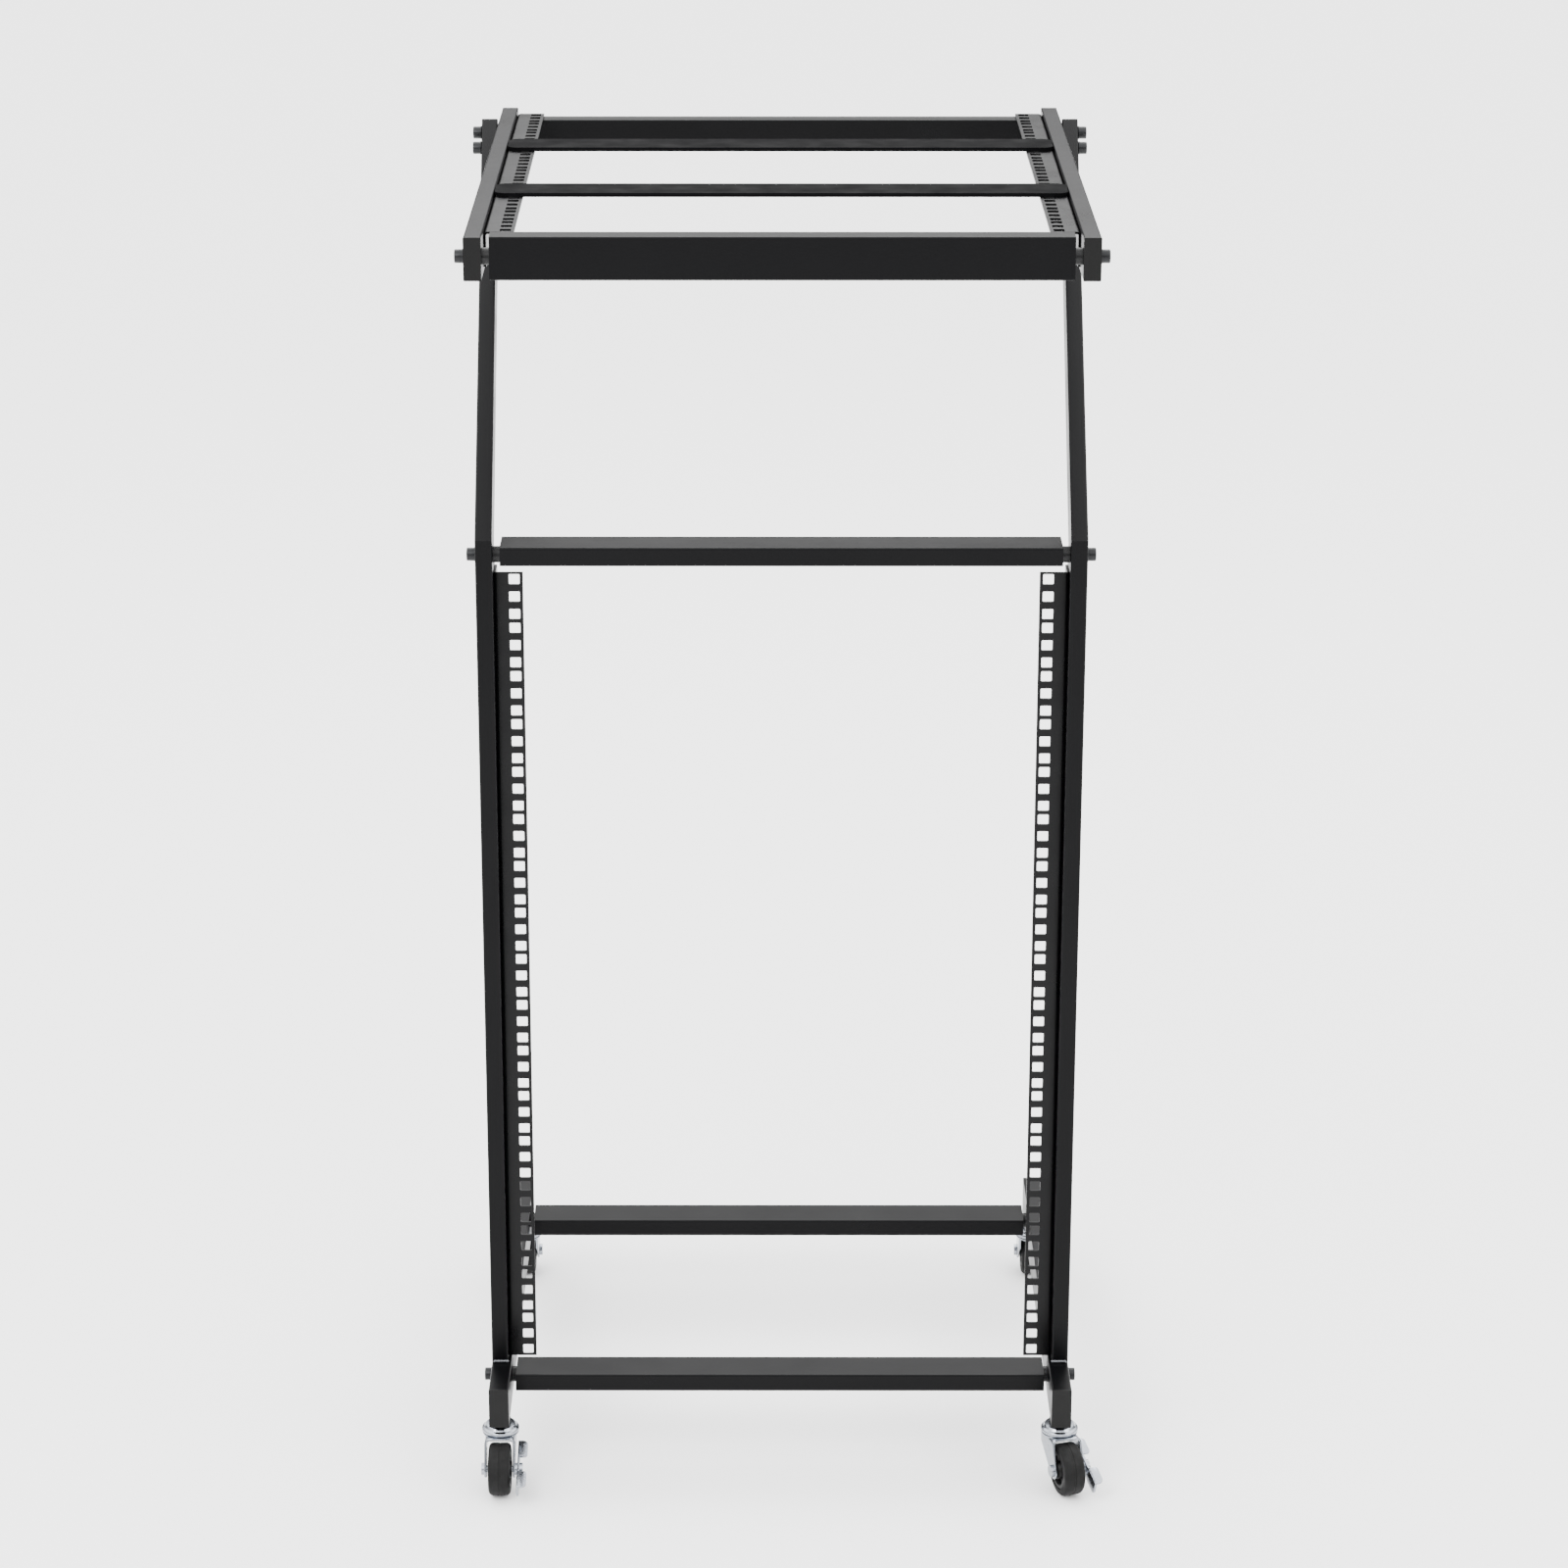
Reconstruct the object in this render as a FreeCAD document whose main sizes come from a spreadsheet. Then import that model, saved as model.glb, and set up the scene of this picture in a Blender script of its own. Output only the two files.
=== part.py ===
import FreeCAD, Part
import math
import os
import re
import Sketcher

# Rolling studio rack stand: an upright front rack, a level top rack and four swivel casters.
# Millimetres, +Z up, -Y is the front, the floor is Z zero and the middle of the stand is X zero.

V = FreeCAD.Vector

# Sizes that drive the stand. Angles are in degrees, shares and counts have no unit.
SIZES = {
    # Rack standard
    "rack_unit": 44.45,
    "hole_step": 15.875,
    "hole_margin": 6.35,
    "hole_size": 9.5,
    "column_inset": 7.55,
    "front_units": 17,
    "top_units": 12,
    # Steel stock
    "frame_width": 531,
    "tube_wide": 15,
    "tube_deep": 38,
    "tube_wall": 1.5,
    "tube_corner": 1.6,
    "bar_tall": 16.5,
    "bar_clearance": 6.5,
    "bar_gap": 9.35,
    "rail_thick": 2,
    "rail_reach": 40.5,
    "front_leg": 24,
    "top_leg": 30,
    # Base
    "base_wide": 18,
    "base_tall": 38,
    "base_ahead": 68,
    "base_back": 389,
    "bar_lift": 8,
    "rear_bar_back": 337,
    "boss_tall": 24,
    "boss_long": 20,
    # Posts
    "post_ahead": 14,
    "bend_gap": 32.35,
    "lean": 30,
    "upper_length": 553,
    "splay": 17.5,
    "bead": 3,
    # Top frame
    "post_cover": 4.2,
    "side_tall": 37,
    "rail_front_gap": 37.35,
    "top_overrun": 40.088,
    "rail_end_gap": 10.25,
    "rail_recess": 3.5,
    "cross_deep": 22,
    "rear_cross_deep": 20,
    "rear_cross_tall": 30,
    "rear_cross_inset": 21,
    "rear_cross_drop": 5.7,
    "support_deep": 42,
    "support_corner": 9,
    "support_play": 0.5,
    "support_front_inset": 380,
    "support_rear_inset": 175,
    # Fasteners and fittings
    "bolt_radius": 3,
    "bolt_hole": 3.3,
    "bolt_head": 6.2,
    "bolt_head_tall": 8,
    "bolt_edge": 0.8,
    "bolt_key": 2.6,
    "bolt_key_deep": 3.5,
    "bolt_grip": 18,
    "insert_length": 20,
    "pin_fit": 0.05,
    "joint_bolt_inset": 7.5,
    "joint_bolt_low": 31,
    "joint_bolt_high": 9,
    "joint_stand_off": 0.25,
    "nut_radius": 5.7,
    "nut_tall": 5,
    "mid_bolt_back": 2,
    "mid_bolt_drop": 16.5,
    "plug_lip": 2,
    "plug_depth": 7,
    "plug_corner": 1,
    "cap_depth": 6,
    "cap_play": 0.5,
    "spacer_radius": 7.2,
    # Casters
    "stem_inset": 20,
    "stem_radius": 5,
    "stem_rise": 22,
    "stem_head": 9,
    "stem_head_drop": 2.5,
    "stem_play": 0.3,
    "caster_nut": 9.2,
    "caster_nut_sink": 6.5,
    "race_radius": 17.2,
    "race_slope": 3,
    "race_stack": 16,
    "crown_clearance": 2,
    "crown_thick": 2.5,
    "crown_radius": 17,
    "wheel_radius": 24,
    "trail": 22,
    "tread_wide": 20,
    "tread_round": 3,
    "tyre_inner": 17,
    "hub_wide": 22,
    "hub_boss": 8,
    "hub_rim": 14,
    "hub_rim_wide": 19,
    "hub_web": 8,
    "fork_gap": 24,
    "fork_plate": 2,
    "fork_foot": 8,
    "fork_back": 10,
    "fork_front": 19,
    "fork_knee": 40,
    "axle_radius": 3,
    "axle_head": 5.5,
    "axle_head_thick": 2.8,
    "front_right_turn": 17,
    # Brake pedals
    "pedal_gap": 2,
    "pedal_thick": 2,
    "pedal_half": 25,
    "pedal_width": 12,
    "pedal_tread": 17,
    "pedal_flare": 8,
    "pedal_corner": 4,
    "pedal_tilt": 19,
}

# Sizes that follow from the ones above.
DERIVED = {
    "half_outer": "frame_width / 2",
    "half_inner": "half_outer - tube_wide",
    "bar_length": "frame_width - 2 * tube_wide - 2 * bar_clearance",
    "half_bar": "bar_length / 2",
    "rack_opening": "frame_width - 2 * rail_reach",
    "hole_columns": "rack_opening + 2 * column_inset",
    "crown_low": "2 * wheel_radius + crown_clearance",
    "base_rise": "crown_low + race_stack",
    "stem_head_low": "crown_low - stem_head_drop",
    "caster_nut_low": "base_rise - caster_nut_sink",
    "half_opening": "rack_opening / 2",
    "half_columns": "hole_columns / 2",
    "half_hole": "hole_size / 2",
    "half_deep": "tube_deep / 2",
    "post_centre": "half_outer - tube_wide / 2",
    "base_centre": "half_outer - base_wide / 2",
    "base_inner": "half_outer - base_wide",
    "base_top": "base_rise + base_tall",
    "base_length": "base_ahead + base_back",
    "stem_top": "base_rise + stem_rise",
    "stem_ahead": "base_ahead - stem_inset",
    "stem_back": "base_back - stem_inset",
    "lean_cos": "cos(lean * 1 deg)",
    "lean_sin": "sin(lean * 1 deg)",
    "top_back": "upper_length * lean_cos - post_ahead + top_overrun",
    "rail_plane": "(stem_ahead + trail + wheel_radius - top_back - plug_lip) / 2",
    "post_front": "rail_plane - post_ahead",
    "post_middle": "post_front + half_deep",
    "front_rail_length": "front_units * rack_unit",
    "top_rail_length": "top_units * rack_unit",
    "front_rail_top": "base_top + front_rail_length",
    "bend_height": "front_rail_top + bend_gap",
    "mid_bolt_height": "bend_height - mid_bolt_drop",
    "low_bar_height": "base_rise + bar_lift + bar_tall / 2",
    "mid_bar_height": "front_rail_top + bar_gap + bar_tall / 2",
    "top_length": "rail_front_gap + top_rail_length + rail_end_gap",
    "top_ahead": "top_length - top_back",
    "top_rail_ahead": "top_ahead - rail_front_gap",
    "top_height": "bend_height + upper_length * lean_sin + post_cover",
    "side_middle": "top_height - side_tall / 2",
    "flange_top": "top_height - rail_recess",
    "rear_cross_height": "top_height - rear_cross_drop - rear_cross_tall / 2",
    "front_cross_y": "rail_plane - top_ahead + cross_deep / 2",
    "rear_cross_back": "top_back - rear_cross_inset",
    "rear_cross_y": "rail_plane + rear_cross_back",
    "support_front_back": "top_back - support_front_inset",
    "support_rear_back": "top_back - support_rear_inset",
    "splay_share": "splay / upper_length",
    "low_run": "upper_length - joint_bolt_low",
    "high_run": "upper_length - joint_bolt_high",
    "low_joint_y": "post_front + low_run * lean_cos + joint_bolt_inset * lean_sin",
    "low_joint_z": "bend_height + low_run * lean_sin - joint_bolt_inset * lean_cos",
    "high_joint_y": "post_front + high_run * lean_cos + joint_bolt_inset * lean_sin",
    "high_joint_z": "bend_height + high_run * lean_sin - joint_bolt_inset * lean_cos",
    "bolt_length": "half_outer - half_bar + bolt_grip",
    "crown_top": "crown_low + crown_thick",
    "race_low": "crown_top + stem_play",
    "half_fork": "fork_gap / 2",
    "fork_outer": "half_fork + fork_plate",
    "pedal_inner": "fork_outer + pedal_gap",
    "pedal_outer": "pedal_inner + pedal_thick",
    "hub_bore": "axle_radius + pin_fit",
    "tyre_bore": "tyre_inner + pin_fit",
}

NAMES = set(SIZES) | set(DERIVED)
SHEET = "Sizes"
CORNER_SHARE = 0.99
FRONT, REAR = -1, 1
LEFT, RIGHT = -1, 1

doc = FreeCAD.newDocument("rack_stand")
parts = []


def fill_sheet():
    """Put every size in its own cell, with its name as the alias."""
    table = doc.addObject("Spreadsheet::Sheet", SHEET)
    cells = {name: str(value) for name, value in SIZES.items()}
    cells.update({name: "=" + formula for name, formula in DERIVED.items()})
    for row, (name, text) in enumerate(cells.items(), 1):
        table.set("A%d" % row, name)
        table.set("B%d" % row, text)
        table.setAlias("B%d" % row, name)
    doc.recompute()
    return table


sheet = fill_sheet()


def formula(text):
    """Point every size name in a formula at the sheet."""
    def name(match):
        word = match.group(0)
        return SHEET + "." + word if word in NAMES else word
    return re.sub(r"[a-z_]+", name, str(text))


def bind(item, **bound):
    for prop, text in bound.items():
        item.setExpression(prop.replace("__", "."), formula(text))


def new_body(name):
    body = doc.addObject("PartDesign::Body", name)
    body.Label = name
    return body


def keep(item):
    """List a finished sub-part for export."""
    doc.recompute()
    parts.append(item)
    return item


def place(body, x="0", y="0", z="0", turn=None):
    if turn is not None:
        body.Placement = FreeCAD.Placement(V(0, 0, 0), turn)
    bind(body, Placement__Base__x=x, Placement__Base__y=y, Placement__Base__z=z)
    return body


def turned(degrees):
    return FreeCAD.Rotation(V(0, 0, 1), degrees)


def plane_sketch(body, role, offset=None):
    """A sketch on one of the body's own planes, pushed out along its normal."""
    sketch = body.newObject("Sketcher::SketchObject", body.Name + "_sketch")
    plane = [item for item in body.Origin.OriginFeatures if item.Role == role][0]
    sketch.AttachmentSupport = (plane, "")
    sketch.MapMode = "FlatFace"
    if offset is not None:
        bind(sketch, AttachmentOffset__Base__z=offset)
    return sketch


def fix(sketch, kind, value, *where):
    number = sketch.addConstraint(Sketcher.Constraint(kind, *where, 1.0))
    sketch.setExpression("Constraints[%d]" % number, formula(value))


def ring(sketch, corners):
    """A closed outline whose corners are all bound to sizes."""
    first = sketch.GeometryCount
    count = len(corners)
    guess = [math.tau * (number - count) / count for number in range(count)]
    dots = [V(math.cos(angle), math.sin(angle), 0) for angle in guess]
    for number in range(count):
        sketch.addGeometry(Part.LineSegment(dots[number], dots[(number + 1) % count]))
    for number in range(count):
        following = first + (number + 1) % count
        sketch.addConstraint(Sketcher.Constraint("Coincident", first + number, 2, following, 1))
    for number, (across, up) in enumerate(corners):
        fix(sketch, "DistanceX", across, -1, 1, first + number, 1)
        fix(sketch, "DistanceY", up, -1, 1, first + number, 1)


def circle(sketch, across, up, radius):
    number = sketch.addGeometry(Part.Circle(V(0, 0, 0), V(0, 0, 1), 1))
    fix(sketch, "DistanceX", across, -1, 1, number, 3)
    fix(sketch, "DistanceY", up, -1, 1, number, 3)
    fix(sketch, "Radius", radius, number)


def box_corners(left, low, right, high):
    return [(left, low), (right, low), (right, high), (left, high)]


def centred(wide, tall, less="0"):
    """Corners of a rectangle round the origin, smaller by a wall on every side."""
    x = "(%s) / 2 - (%s)" % (wide, less)
    z = "(%s) / 2 - (%s)" % (tall, less)
    return box_corners("-(%s)" % x, "-(%s)" % z, x, z)


def pad(body, sketch, length, back=False):
    feature = body.newObject("PartDesign::Pad", body.Name + "_pad")
    feature.Profile = sketch
    feature.Reversed = back
    bind(feature, Length=length)
    return feature


def cut_through(body, sketch):
    feature = body.newObject("PartDesign::Pocket", body.Name + "_cut")
    feature.Profile = sketch
    feature.Type = "ThroughAll"
    feature.SideType = "Symmetric"
    return feature


def cut_down(body, sketch, depth, back=False):
    feature = body.newObject("PartDesign::Pocket", body.Name + "_cut")
    feature.Profile = sketch
    feature.Reversed = back
    bind(feature, Length=depth)
    return feature


def revolve(body, sketch, axis):
    feature = body.newObject("PartDesign::Revolution", body.Name + "_turning")
    feature.Profile = sketch
    feature.ReferenceAxis = (sketch, [axis])
    feature.Angle = 360
    return feature


def bore(body, role, across, up, radius):
    sketch = plane_sketch(body, role)
    circle(sketch, across, up, radius)
    return cut_through(body, sketch)


def round_long_edges(body, axis, radius):
    """Round the straight edges along an axis that lie farthest from it."""
    doc.recompute()
    shape = body.Tip.Shape
    found = []
    for number, edge in enumerate(shape.Edges, 1):
        if edge.Curve.TypeId != "Part::GeomLine":
            continue
        if abs(edge.tangentAt(edge.FirstParameter).dot(axis)) < CORNER_SHARE:
            continue
        middle = edge.CenterOfMass - shape.BoundBox.Center
        away = (middle - axis * middle.dot(axis)).Length
        found.append((away, "Edge%d" % number))
    reach = max(away for away, _ in found)
    names = [name for away, name in found if away > reach * CORNER_SHARE]
    feature = body.newObject("PartDesign::Fillet", body.Name + "_round")
    feature.Base = (body.Group[-2], names)
    bind(feature, Radius=radius)
    return feature


def long_tube(name, wide, tall, length):
    """A hollow tube that runs from the origin towards the back."""
    body = new_body(name)
    sketch = plane_sketch(body, "XZ_Plane")
    ring(sketch, centred(wide, tall))
    ring(sketch, centred(wide, tall, "tube_wall"))
    pad(body, sketch, length, back=True)
    round_long_edges(body, V(0, 1, 0), "tube_corner")
    return body


def cross_tube(name, deep, tall, y, z):
    """A hollow tube from side to side."""
    body = new_body(name)
    sketch = plane_sketch(body, "YZ_Plane", "-half_bar")
    ring(sketch, centred(deep, tall))
    ring(sketch, centred(deep, tall, "tube_wall"))
    pad(body, sketch, "bar_length")
    round_long_edges(body, V(1, 0, 0), "tube_corner")
    place(body, y=y, z=z)
    return keep(body)


def base_tube(side, name):
    """Bottom runner with a welded boss for each caster stem."""
    body = long_tube(name, "base_wide", "base_tall", "base_length")
    inside = "base_wide / 2 - tube_wall"
    floor = "-base_tall / 2 + tube_wall"
    for middle in ("base_ahead - stem_ahead", "base_ahead + stem_back"):
        sketch = plane_sketch(body, "XY_Plane", floor)
        low = "%s - boss_long / 2" % middle
        high = "%s + boss_long / 2" % middle
        ring(sketch, box_corners("-(%s)" % inside, low, inside, high))
        pad(body, sketch, "boss_tall")
        sketch = plane_sketch(body, "XY_Plane", "-base_tall / 2")
        circle(sketch, "0", middle, "stem_radius + pin_fit")
        cut_down(body, sketch, "boss_tall + tube_wall", back=True)
    lift = "low_bar_height - base_rise - base_tall / 2"
    for middle in ("base_ahead - post_ahead + half_deep", "base_ahead + rear_bar_back"):
        bore(body, "YZ_Plane", middle, lift, "bolt_hole")
    place(body, "%d * base_centre" % side, "rail_plane - base_ahead", "base_rise + base_tall / 2")
    return keep(body)


def lower_post(side, name):
    """Upright tube, mitred at the bend."""
    body = new_body(name)
    sketch = plane_sketch(body, "XY_Plane")
    ring(sketch, centred("tube_wide", "tube_deep"))
    ring(sketch, centred("tube_wide", "tube_deep", "tube_wall"))
    rise = "(bend_height - base_top)"
    pad(body, sketch, rise)
    round_long_edges(body, V(0, 0, 1), "tube_corner")
    sketch = plane_sketch(body, "YZ_Plane")
    drop = "%s - tube_deep * tan(lean * 1 deg)" % rise
    ring(sketch, [("-half_deep", rise), ("half_deep", drop), ("half_deep + tube_deep", rise)])
    cut_through(body, sketch)
    bore(body, "YZ_Plane", "mid_bolt_back + post_ahead - half_deep",
         "mid_bolt_height - base_top", "bolt_hole")
    place(body, "%d * post_centre" % side, "post_middle", "base_top")
    return keep(body)


def upper_post(side, name):
    """Leaning tube that spreads outward as it rises, so that it passes outside the top frame."""
    body = new_body(name)
    sketch = plane_sketch(body, "XY_Plane")
    sketch.AttachmentOffset = FreeCAD.Placement(V(0, 0, 0), FreeCAD.Rotation(V(1, 0, 0), 1))
    bind(sketch, AttachmentOffset__Rotation__Angle="lean - 90",
         AttachmentOffset__Base__y="upper_length * lean_cos",
         AttachmentOffset__Base__z="upper_length * lean_sin")
    near = "%d * splay" % side
    far = "%d * (splay + tube_wide)" % side
    ring(sketch, box_corners(near, "0", far, "tube_deep"))
    near = "%d * (splay + tube_wall)" % side
    far = "%d * (splay + tube_wide - tube_wall)" % side
    ring(sketch, box_corners(near, "tube_wall", far, "tube_deep - tube_wall"))
    feature = pad(body, sketch, "upper_length + tube_deep")
    feature.UseCustomVector = True
    feature.AlongSketchNormal = True
    bind(feature, Direction__x="%d * -splay_share" % side,
         Direction__y="-lean_cos", Direction__z="-lean_sin")
    return body


def post_end(body, side):
    """Round the leaning tube, mitre it and drill it for the joint with the top frame."""
    doc.recompute()
    run = V(side * sheet.splay_share, sheet.lean_cos, sheet.lean_sin).normalize()
    round_long_edges(body, run, "tube_corner")
    sketch = plane_sketch(body, "YZ_Plane")
    slope = "tan(lean * 1 deg)"
    ring(sketch, [("-tube_deep", "tube_deep * %s" % slope),
                  ("2 * tube_deep", "-2 * tube_deep * %s" % slope),
                  ("-tube_deep", "-2 * tube_deep * %s - tube_deep" % slope)])
    cut_through(body, sketch)
    for height in ("low", "high"):
        bore(body, "YZ_Plane", "%s_joint_y - post_front" % height,
             "%s_joint_z - bend_height" % height, "bolt_hole")
    place(body, "%d * half_inner" % side, "post_front", "bend_height")
    return keep(body)


def unit_holes(body, role, axis, side, count):
    """Three square holes in each rack unit, repeated along the rail."""
    sketch = plane_sketch(body, role)
    for number in range(3):
        middle = "hole_margin + %d * hole_step" % number
        ring(sketch, box_corners("%d * (half_columns - half_hole)" % side, "%s - half_hole" % middle,
                                 "%d * (half_columns + half_hole)" % side, "%s + half_hole" % middle))
    pocket = cut_through(body, sketch)
    pattern = body.newObject("PartDesign::LinearPattern", body.Name + "_holes")
    pattern.Originals = [pocket]
    pattern.Direction = (sketch, [axis])
    bind(pattern, Length="(%s - 1) * rack_unit" % count, Occurrences=count)
    body.Tip = pattern


def front_rail(side, name):
    body = new_body(name)
    sketch = plane_sketch(body, "XY_Plane")
    outer = "%d * half_inner" % side
    web = "%d * (half_inner - rail_thick)" % side
    inner = "%d * half_opening" % side
    ring(sketch, [(inner, "0"), (outer, "0"), (outer, "front_leg"), (web, "front_leg"),
                  (web, "rail_thick"), (inner, "rail_thick")])
    pad(body, sketch, "front_rail_length")
    unit_holes(body, "XZ_Plane", "V_Axis", side, "front_units")
    place(body, y="rail_plane", z="base_top")
    return keep(body)


def top_rail(side, name):
    body = new_body(name)
    sketch = plane_sketch(body, "XZ_Plane")
    outer = "%d * half_inner" % side
    web = "%d * (half_inner - rail_thick)" % side
    inner = "%d * half_opening" % side
    ring(sketch, [(inner, "0"), (outer, "0"), (outer, "-top_leg"), (web, "-top_leg"),
                  (web, "-rail_thick"), (inner, "-rail_thick")])
    pad(body, sketch, "top_rail_length", back=True)
    unit_holes(body, "XY_Plane", "V_Axis", side, "top_units")
    shift = "- rail_plane + top_rail_ahead"
    bore(body, "YZ_Plane", "rear_cross_y " + shift, "rear_cross_height - flange_top", "bolt_hole")
    for height in ("low", "high"):
        bore(body, "YZ_Plane", "%s_joint_y %s" % (height, shift),
             "%s_joint_z - flange_top" % height, "bolt_hole")
    place(body, y="rail_plane - top_rail_ahead", z="flange_top")
    return keep(body)


def top_side_tube(side, name):
    body = long_tube(name, "tube_wide", "side_tall", "top_length")
    shift = "- rail_plane + top_ahead"
    bore(body, "YZ_Plane", "front_cross_y " + shift, "0", "bolt_hole")
    bore(body, "YZ_Plane", "rear_cross_y " + shift, "rear_cross_height - side_middle", "bolt_hole")
    for height in ("low", "high"):
        bore(body, "YZ_Plane", "%s_joint_y %s" % (height, shift),
             "%s_joint_z - side_middle" % height, "bolt_hole")
    place(body, "%d * post_centre" % side, "rail_plane - top_ahead", "side_middle")
    return keep(body)


def support_bar(name, back):
    """Flat bar with rounded ends, laid on the flanges of the top rails."""
    body = new_body(name)
    sketch = plane_sketch(body, "XY_Plane")
    ring(sketch, centred("2 * (half_inner - support_play)", "support_deep"))
    pad(body, sketch, "rail_recess")
    round_long_edges(body, V(0, 0, 1), "support_corner")
    place(body, y="rail_plane + " + back, z="flange_top")
    return keep(body)


def bolt(name):
    """Socket head bolt along X, its head towards the right."""
    body = new_body(name)
    sketch = plane_sketch(body, "XY_Plane")
    ring(sketch, [("-bolt_length", "0"), ("bolt_head_tall", "0"),
                  ("bolt_head_tall", "bolt_head - bolt_edge"),
                  ("bolt_head_tall - bolt_edge", "bolt_head"), ("0", "bolt_head"),
                  ("0", "bolt_radius"), ("-bolt_length", "bolt_radius")])
    revolve(body, sketch, "H_Axis")
    sketch = plane_sketch(body, "YZ_Plane", "bolt_head_tall")
    ring(sketch, hexagon("bolt_key"))
    cut_down(body, sketch, "bolt_key_deep")
    return body


def hexagon(radius):
    return [("(%s) * cos(%d deg)" % (radius, angle), "(%s) * sin(%d deg)" % (radius, angle))
            for angle in range(0, 360, 60)]


def spacer(name, thick):
    body = new_body(name)
    sketch = plane_sketch(body, "YZ_Plane")
    circle(sketch, "0", "0", "spacer_radius")
    circle(sketch, "0", "0", "bolt_hole")
    pad(body, sketch, thick)
    return body


def insert(name, deep, tall):
    """Solid end block inside a cross tube, bored for its bolt."""
    body = new_body(name)
    sketch = plane_sketch(body, "YZ_Plane")
    ring(sketch, centred(deep, tall, "tube_wall"))
    pad(body, sketch, "insert_length")
    return body


def end_plug(name, wide, tall, depth, play="0"):
    """Plastic end plug: a rounded lip, and a block inside the tube."""
    body = new_body(name)
    sketch = plane_sketch(body, "XZ_Plane")
    ring(sketch, centred(wide, tall))
    pad(body, sketch, "plug_lip")
    round_long_edges(body, V(0, 1, 0), "plug_corner")
    sketch = plane_sketch(body, "XZ_Plane")
    ring(sketch, centred(wide, tall, "tube_wall + " + play))
    pad(body, sketch, depth, back=True)
    return body


def group(name, members):
    """Like pieces that share one file, each still a solid of its own."""
    doc.recompute()
    item = doc.addObject("Part::Compound", name)
    item.Label = name
    item.Links = members
    return keep(item)


def both_sides(make, name, x, y, z):
    """The same piece on the left and on the right, facing outward."""
    made = []
    for side, word in ((LEFT, "left"), (RIGHT, "right")):
        body = make("%s_%s" % (name, word))
        turn = turned(0 if side == RIGHT else 180)
        made.append(place(body, "%d * (%s)" % (side, x), y, z, turn))
    return made


def crossbar_fittings():
    """Bolts, spacers and end blocks of the five cross tubes."""
    spots = [
        ("top_front", "cross_deep", "side_tall", "front_cross_y", "side_middle",
         "front_cross_y", "side_middle", "half_inner - half_bar"),
        ("top_rear", "rear_cross_deep", "rear_cross_tall", "rear_cross_y", "rear_cross_height",
         "rear_cross_y", "rear_cross_height", "half_inner - rail_thick - half_bar"),
        ("mid", "tube_deep", "bar_tall", "rail_plane + mid_bolt_back", "mid_bolt_height",
         "post_middle", "mid_bar_height", "half_inner - half_bar"),
        ("lower", "tube_deep", "bar_tall", "post_middle", "low_bar_height",
         "post_middle", "low_bar_height", "base_inner - half_bar"),
        ("rear", "tube_deep", "bar_tall", "rail_plane + rear_bar_back", "low_bar_height",
         "rail_plane + rear_bar_back", "low_bar_height", "base_inner - half_bar"),
    ]
    spacers, inserts = [], []
    for name, deep, tall, y, z, bar_y, bar_z, gap in spots:
        group(name + "_bolts", both_sides(bolt, name + "_bolt", "half_outer", y, z))
        spacers += both_sides(lambda made: spacer(made, gap), name + "_spacer", "half_bar", y, z)
        for side, word in ((LEFT, "left"), (RIGHT, "right")):
            body = insert("%s_insert_%s" % (name, word), deep, tall)
            bore(body, "YZ_Plane", "(%s) - (%s)" % (y, bar_y), "(%s) - (%s)" % (z, bar_z),
                 "bolt_radius + pin_fit")
            start = "half_bar - insert_length" if side == RIGHT else "-half_bar"
            inserts.append(place(body, start, bar_y, bar_z))
    group("crossbar_spacers", spacers)
    group("crossbar_inserts", inserts)


def hex_nut(name, radius, tall, hole, role):
    body = new_body(name)
    sketch = plane_sketch(body, role)
    ring(sketch, hexagon(radius))
    circle(sketch, "0", "0", hole)
    pad(body, sketch, tall)
    return body


def top_joint():
    """Two bolts and nuts a side join the leaning posts to the top frame."""
    bolts, nuts = [], []
    for height in ("low", "high"):
        y = height + "_joint_y"
        z = height + "_joint_z"
        face = "half_outer + splay_share * %s_run + joint_stand_off" % height
        bolts += both_sides(bolt, height + "_joint_bolt", face, y, z)
        nuts += both_sides(
            lambda made: hex_nut(made, "nut_radius", "nut_tall", "bolt_radius + pin_fit", "YZ_Plane"),
            height + "_joint_nut", "half_inner - rail_thick - nut_tall", y, z)
    group("top_joint_bolts", bolts)
    group("top_joint_nuts", nuts)


def tube_ends():
    """Plastic plugs in every open tube end."""
    top, base, caps = [], [], []
    for side, word in ((LEFT, "left"), (RIGHT, "right")):
        for end, label in ((FRONT, "front"), (REAR, "rear")):
            turn = turned(0 if end == FRONT else 180)
            body = end_plug("top_plug_%s_%s" % (label, word), "tube_wide", "side_tall", "plug_depth")
            y = "rail_plane - top_ahead" if end == FRONT else "rail_plane + top_back"
            top.append(place(body, "%d * post_centre" % side, y, "side_middle", turn))
            body = end_plug("base_plug_%s_%s" % (label, word), "base_wide", "base_tall", "tube_wide / 2")
            y = "rail_plane - base_ahead" if end == FRONT else "rail_plane + base_back"
            base.append(place(body, "%d * base_centre" % side, y, "base_rise + base_tall / 2", turn))
        body = end_plug("post_cap_" + word, "tube_wide", "tube_deep", "cap_depth", "cap_play")
        turn = turned(180) * FreeCAD.Rotation(V(1, 0, 0), -sheet.lean)
        y = "post_front + upper_length * lean_cos + half_deep * lean_sin"
        z = "bend_height + upper_length * lean_sin - half_deep * lean_cos"
        caps.append(place(body, "%d * (post_centre + splay)" % side, y, z, turn))
    group("top_tube_plugs", top)
    group("base_tube_plugs", base)
    group("upper_post_caps", caps)


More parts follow.
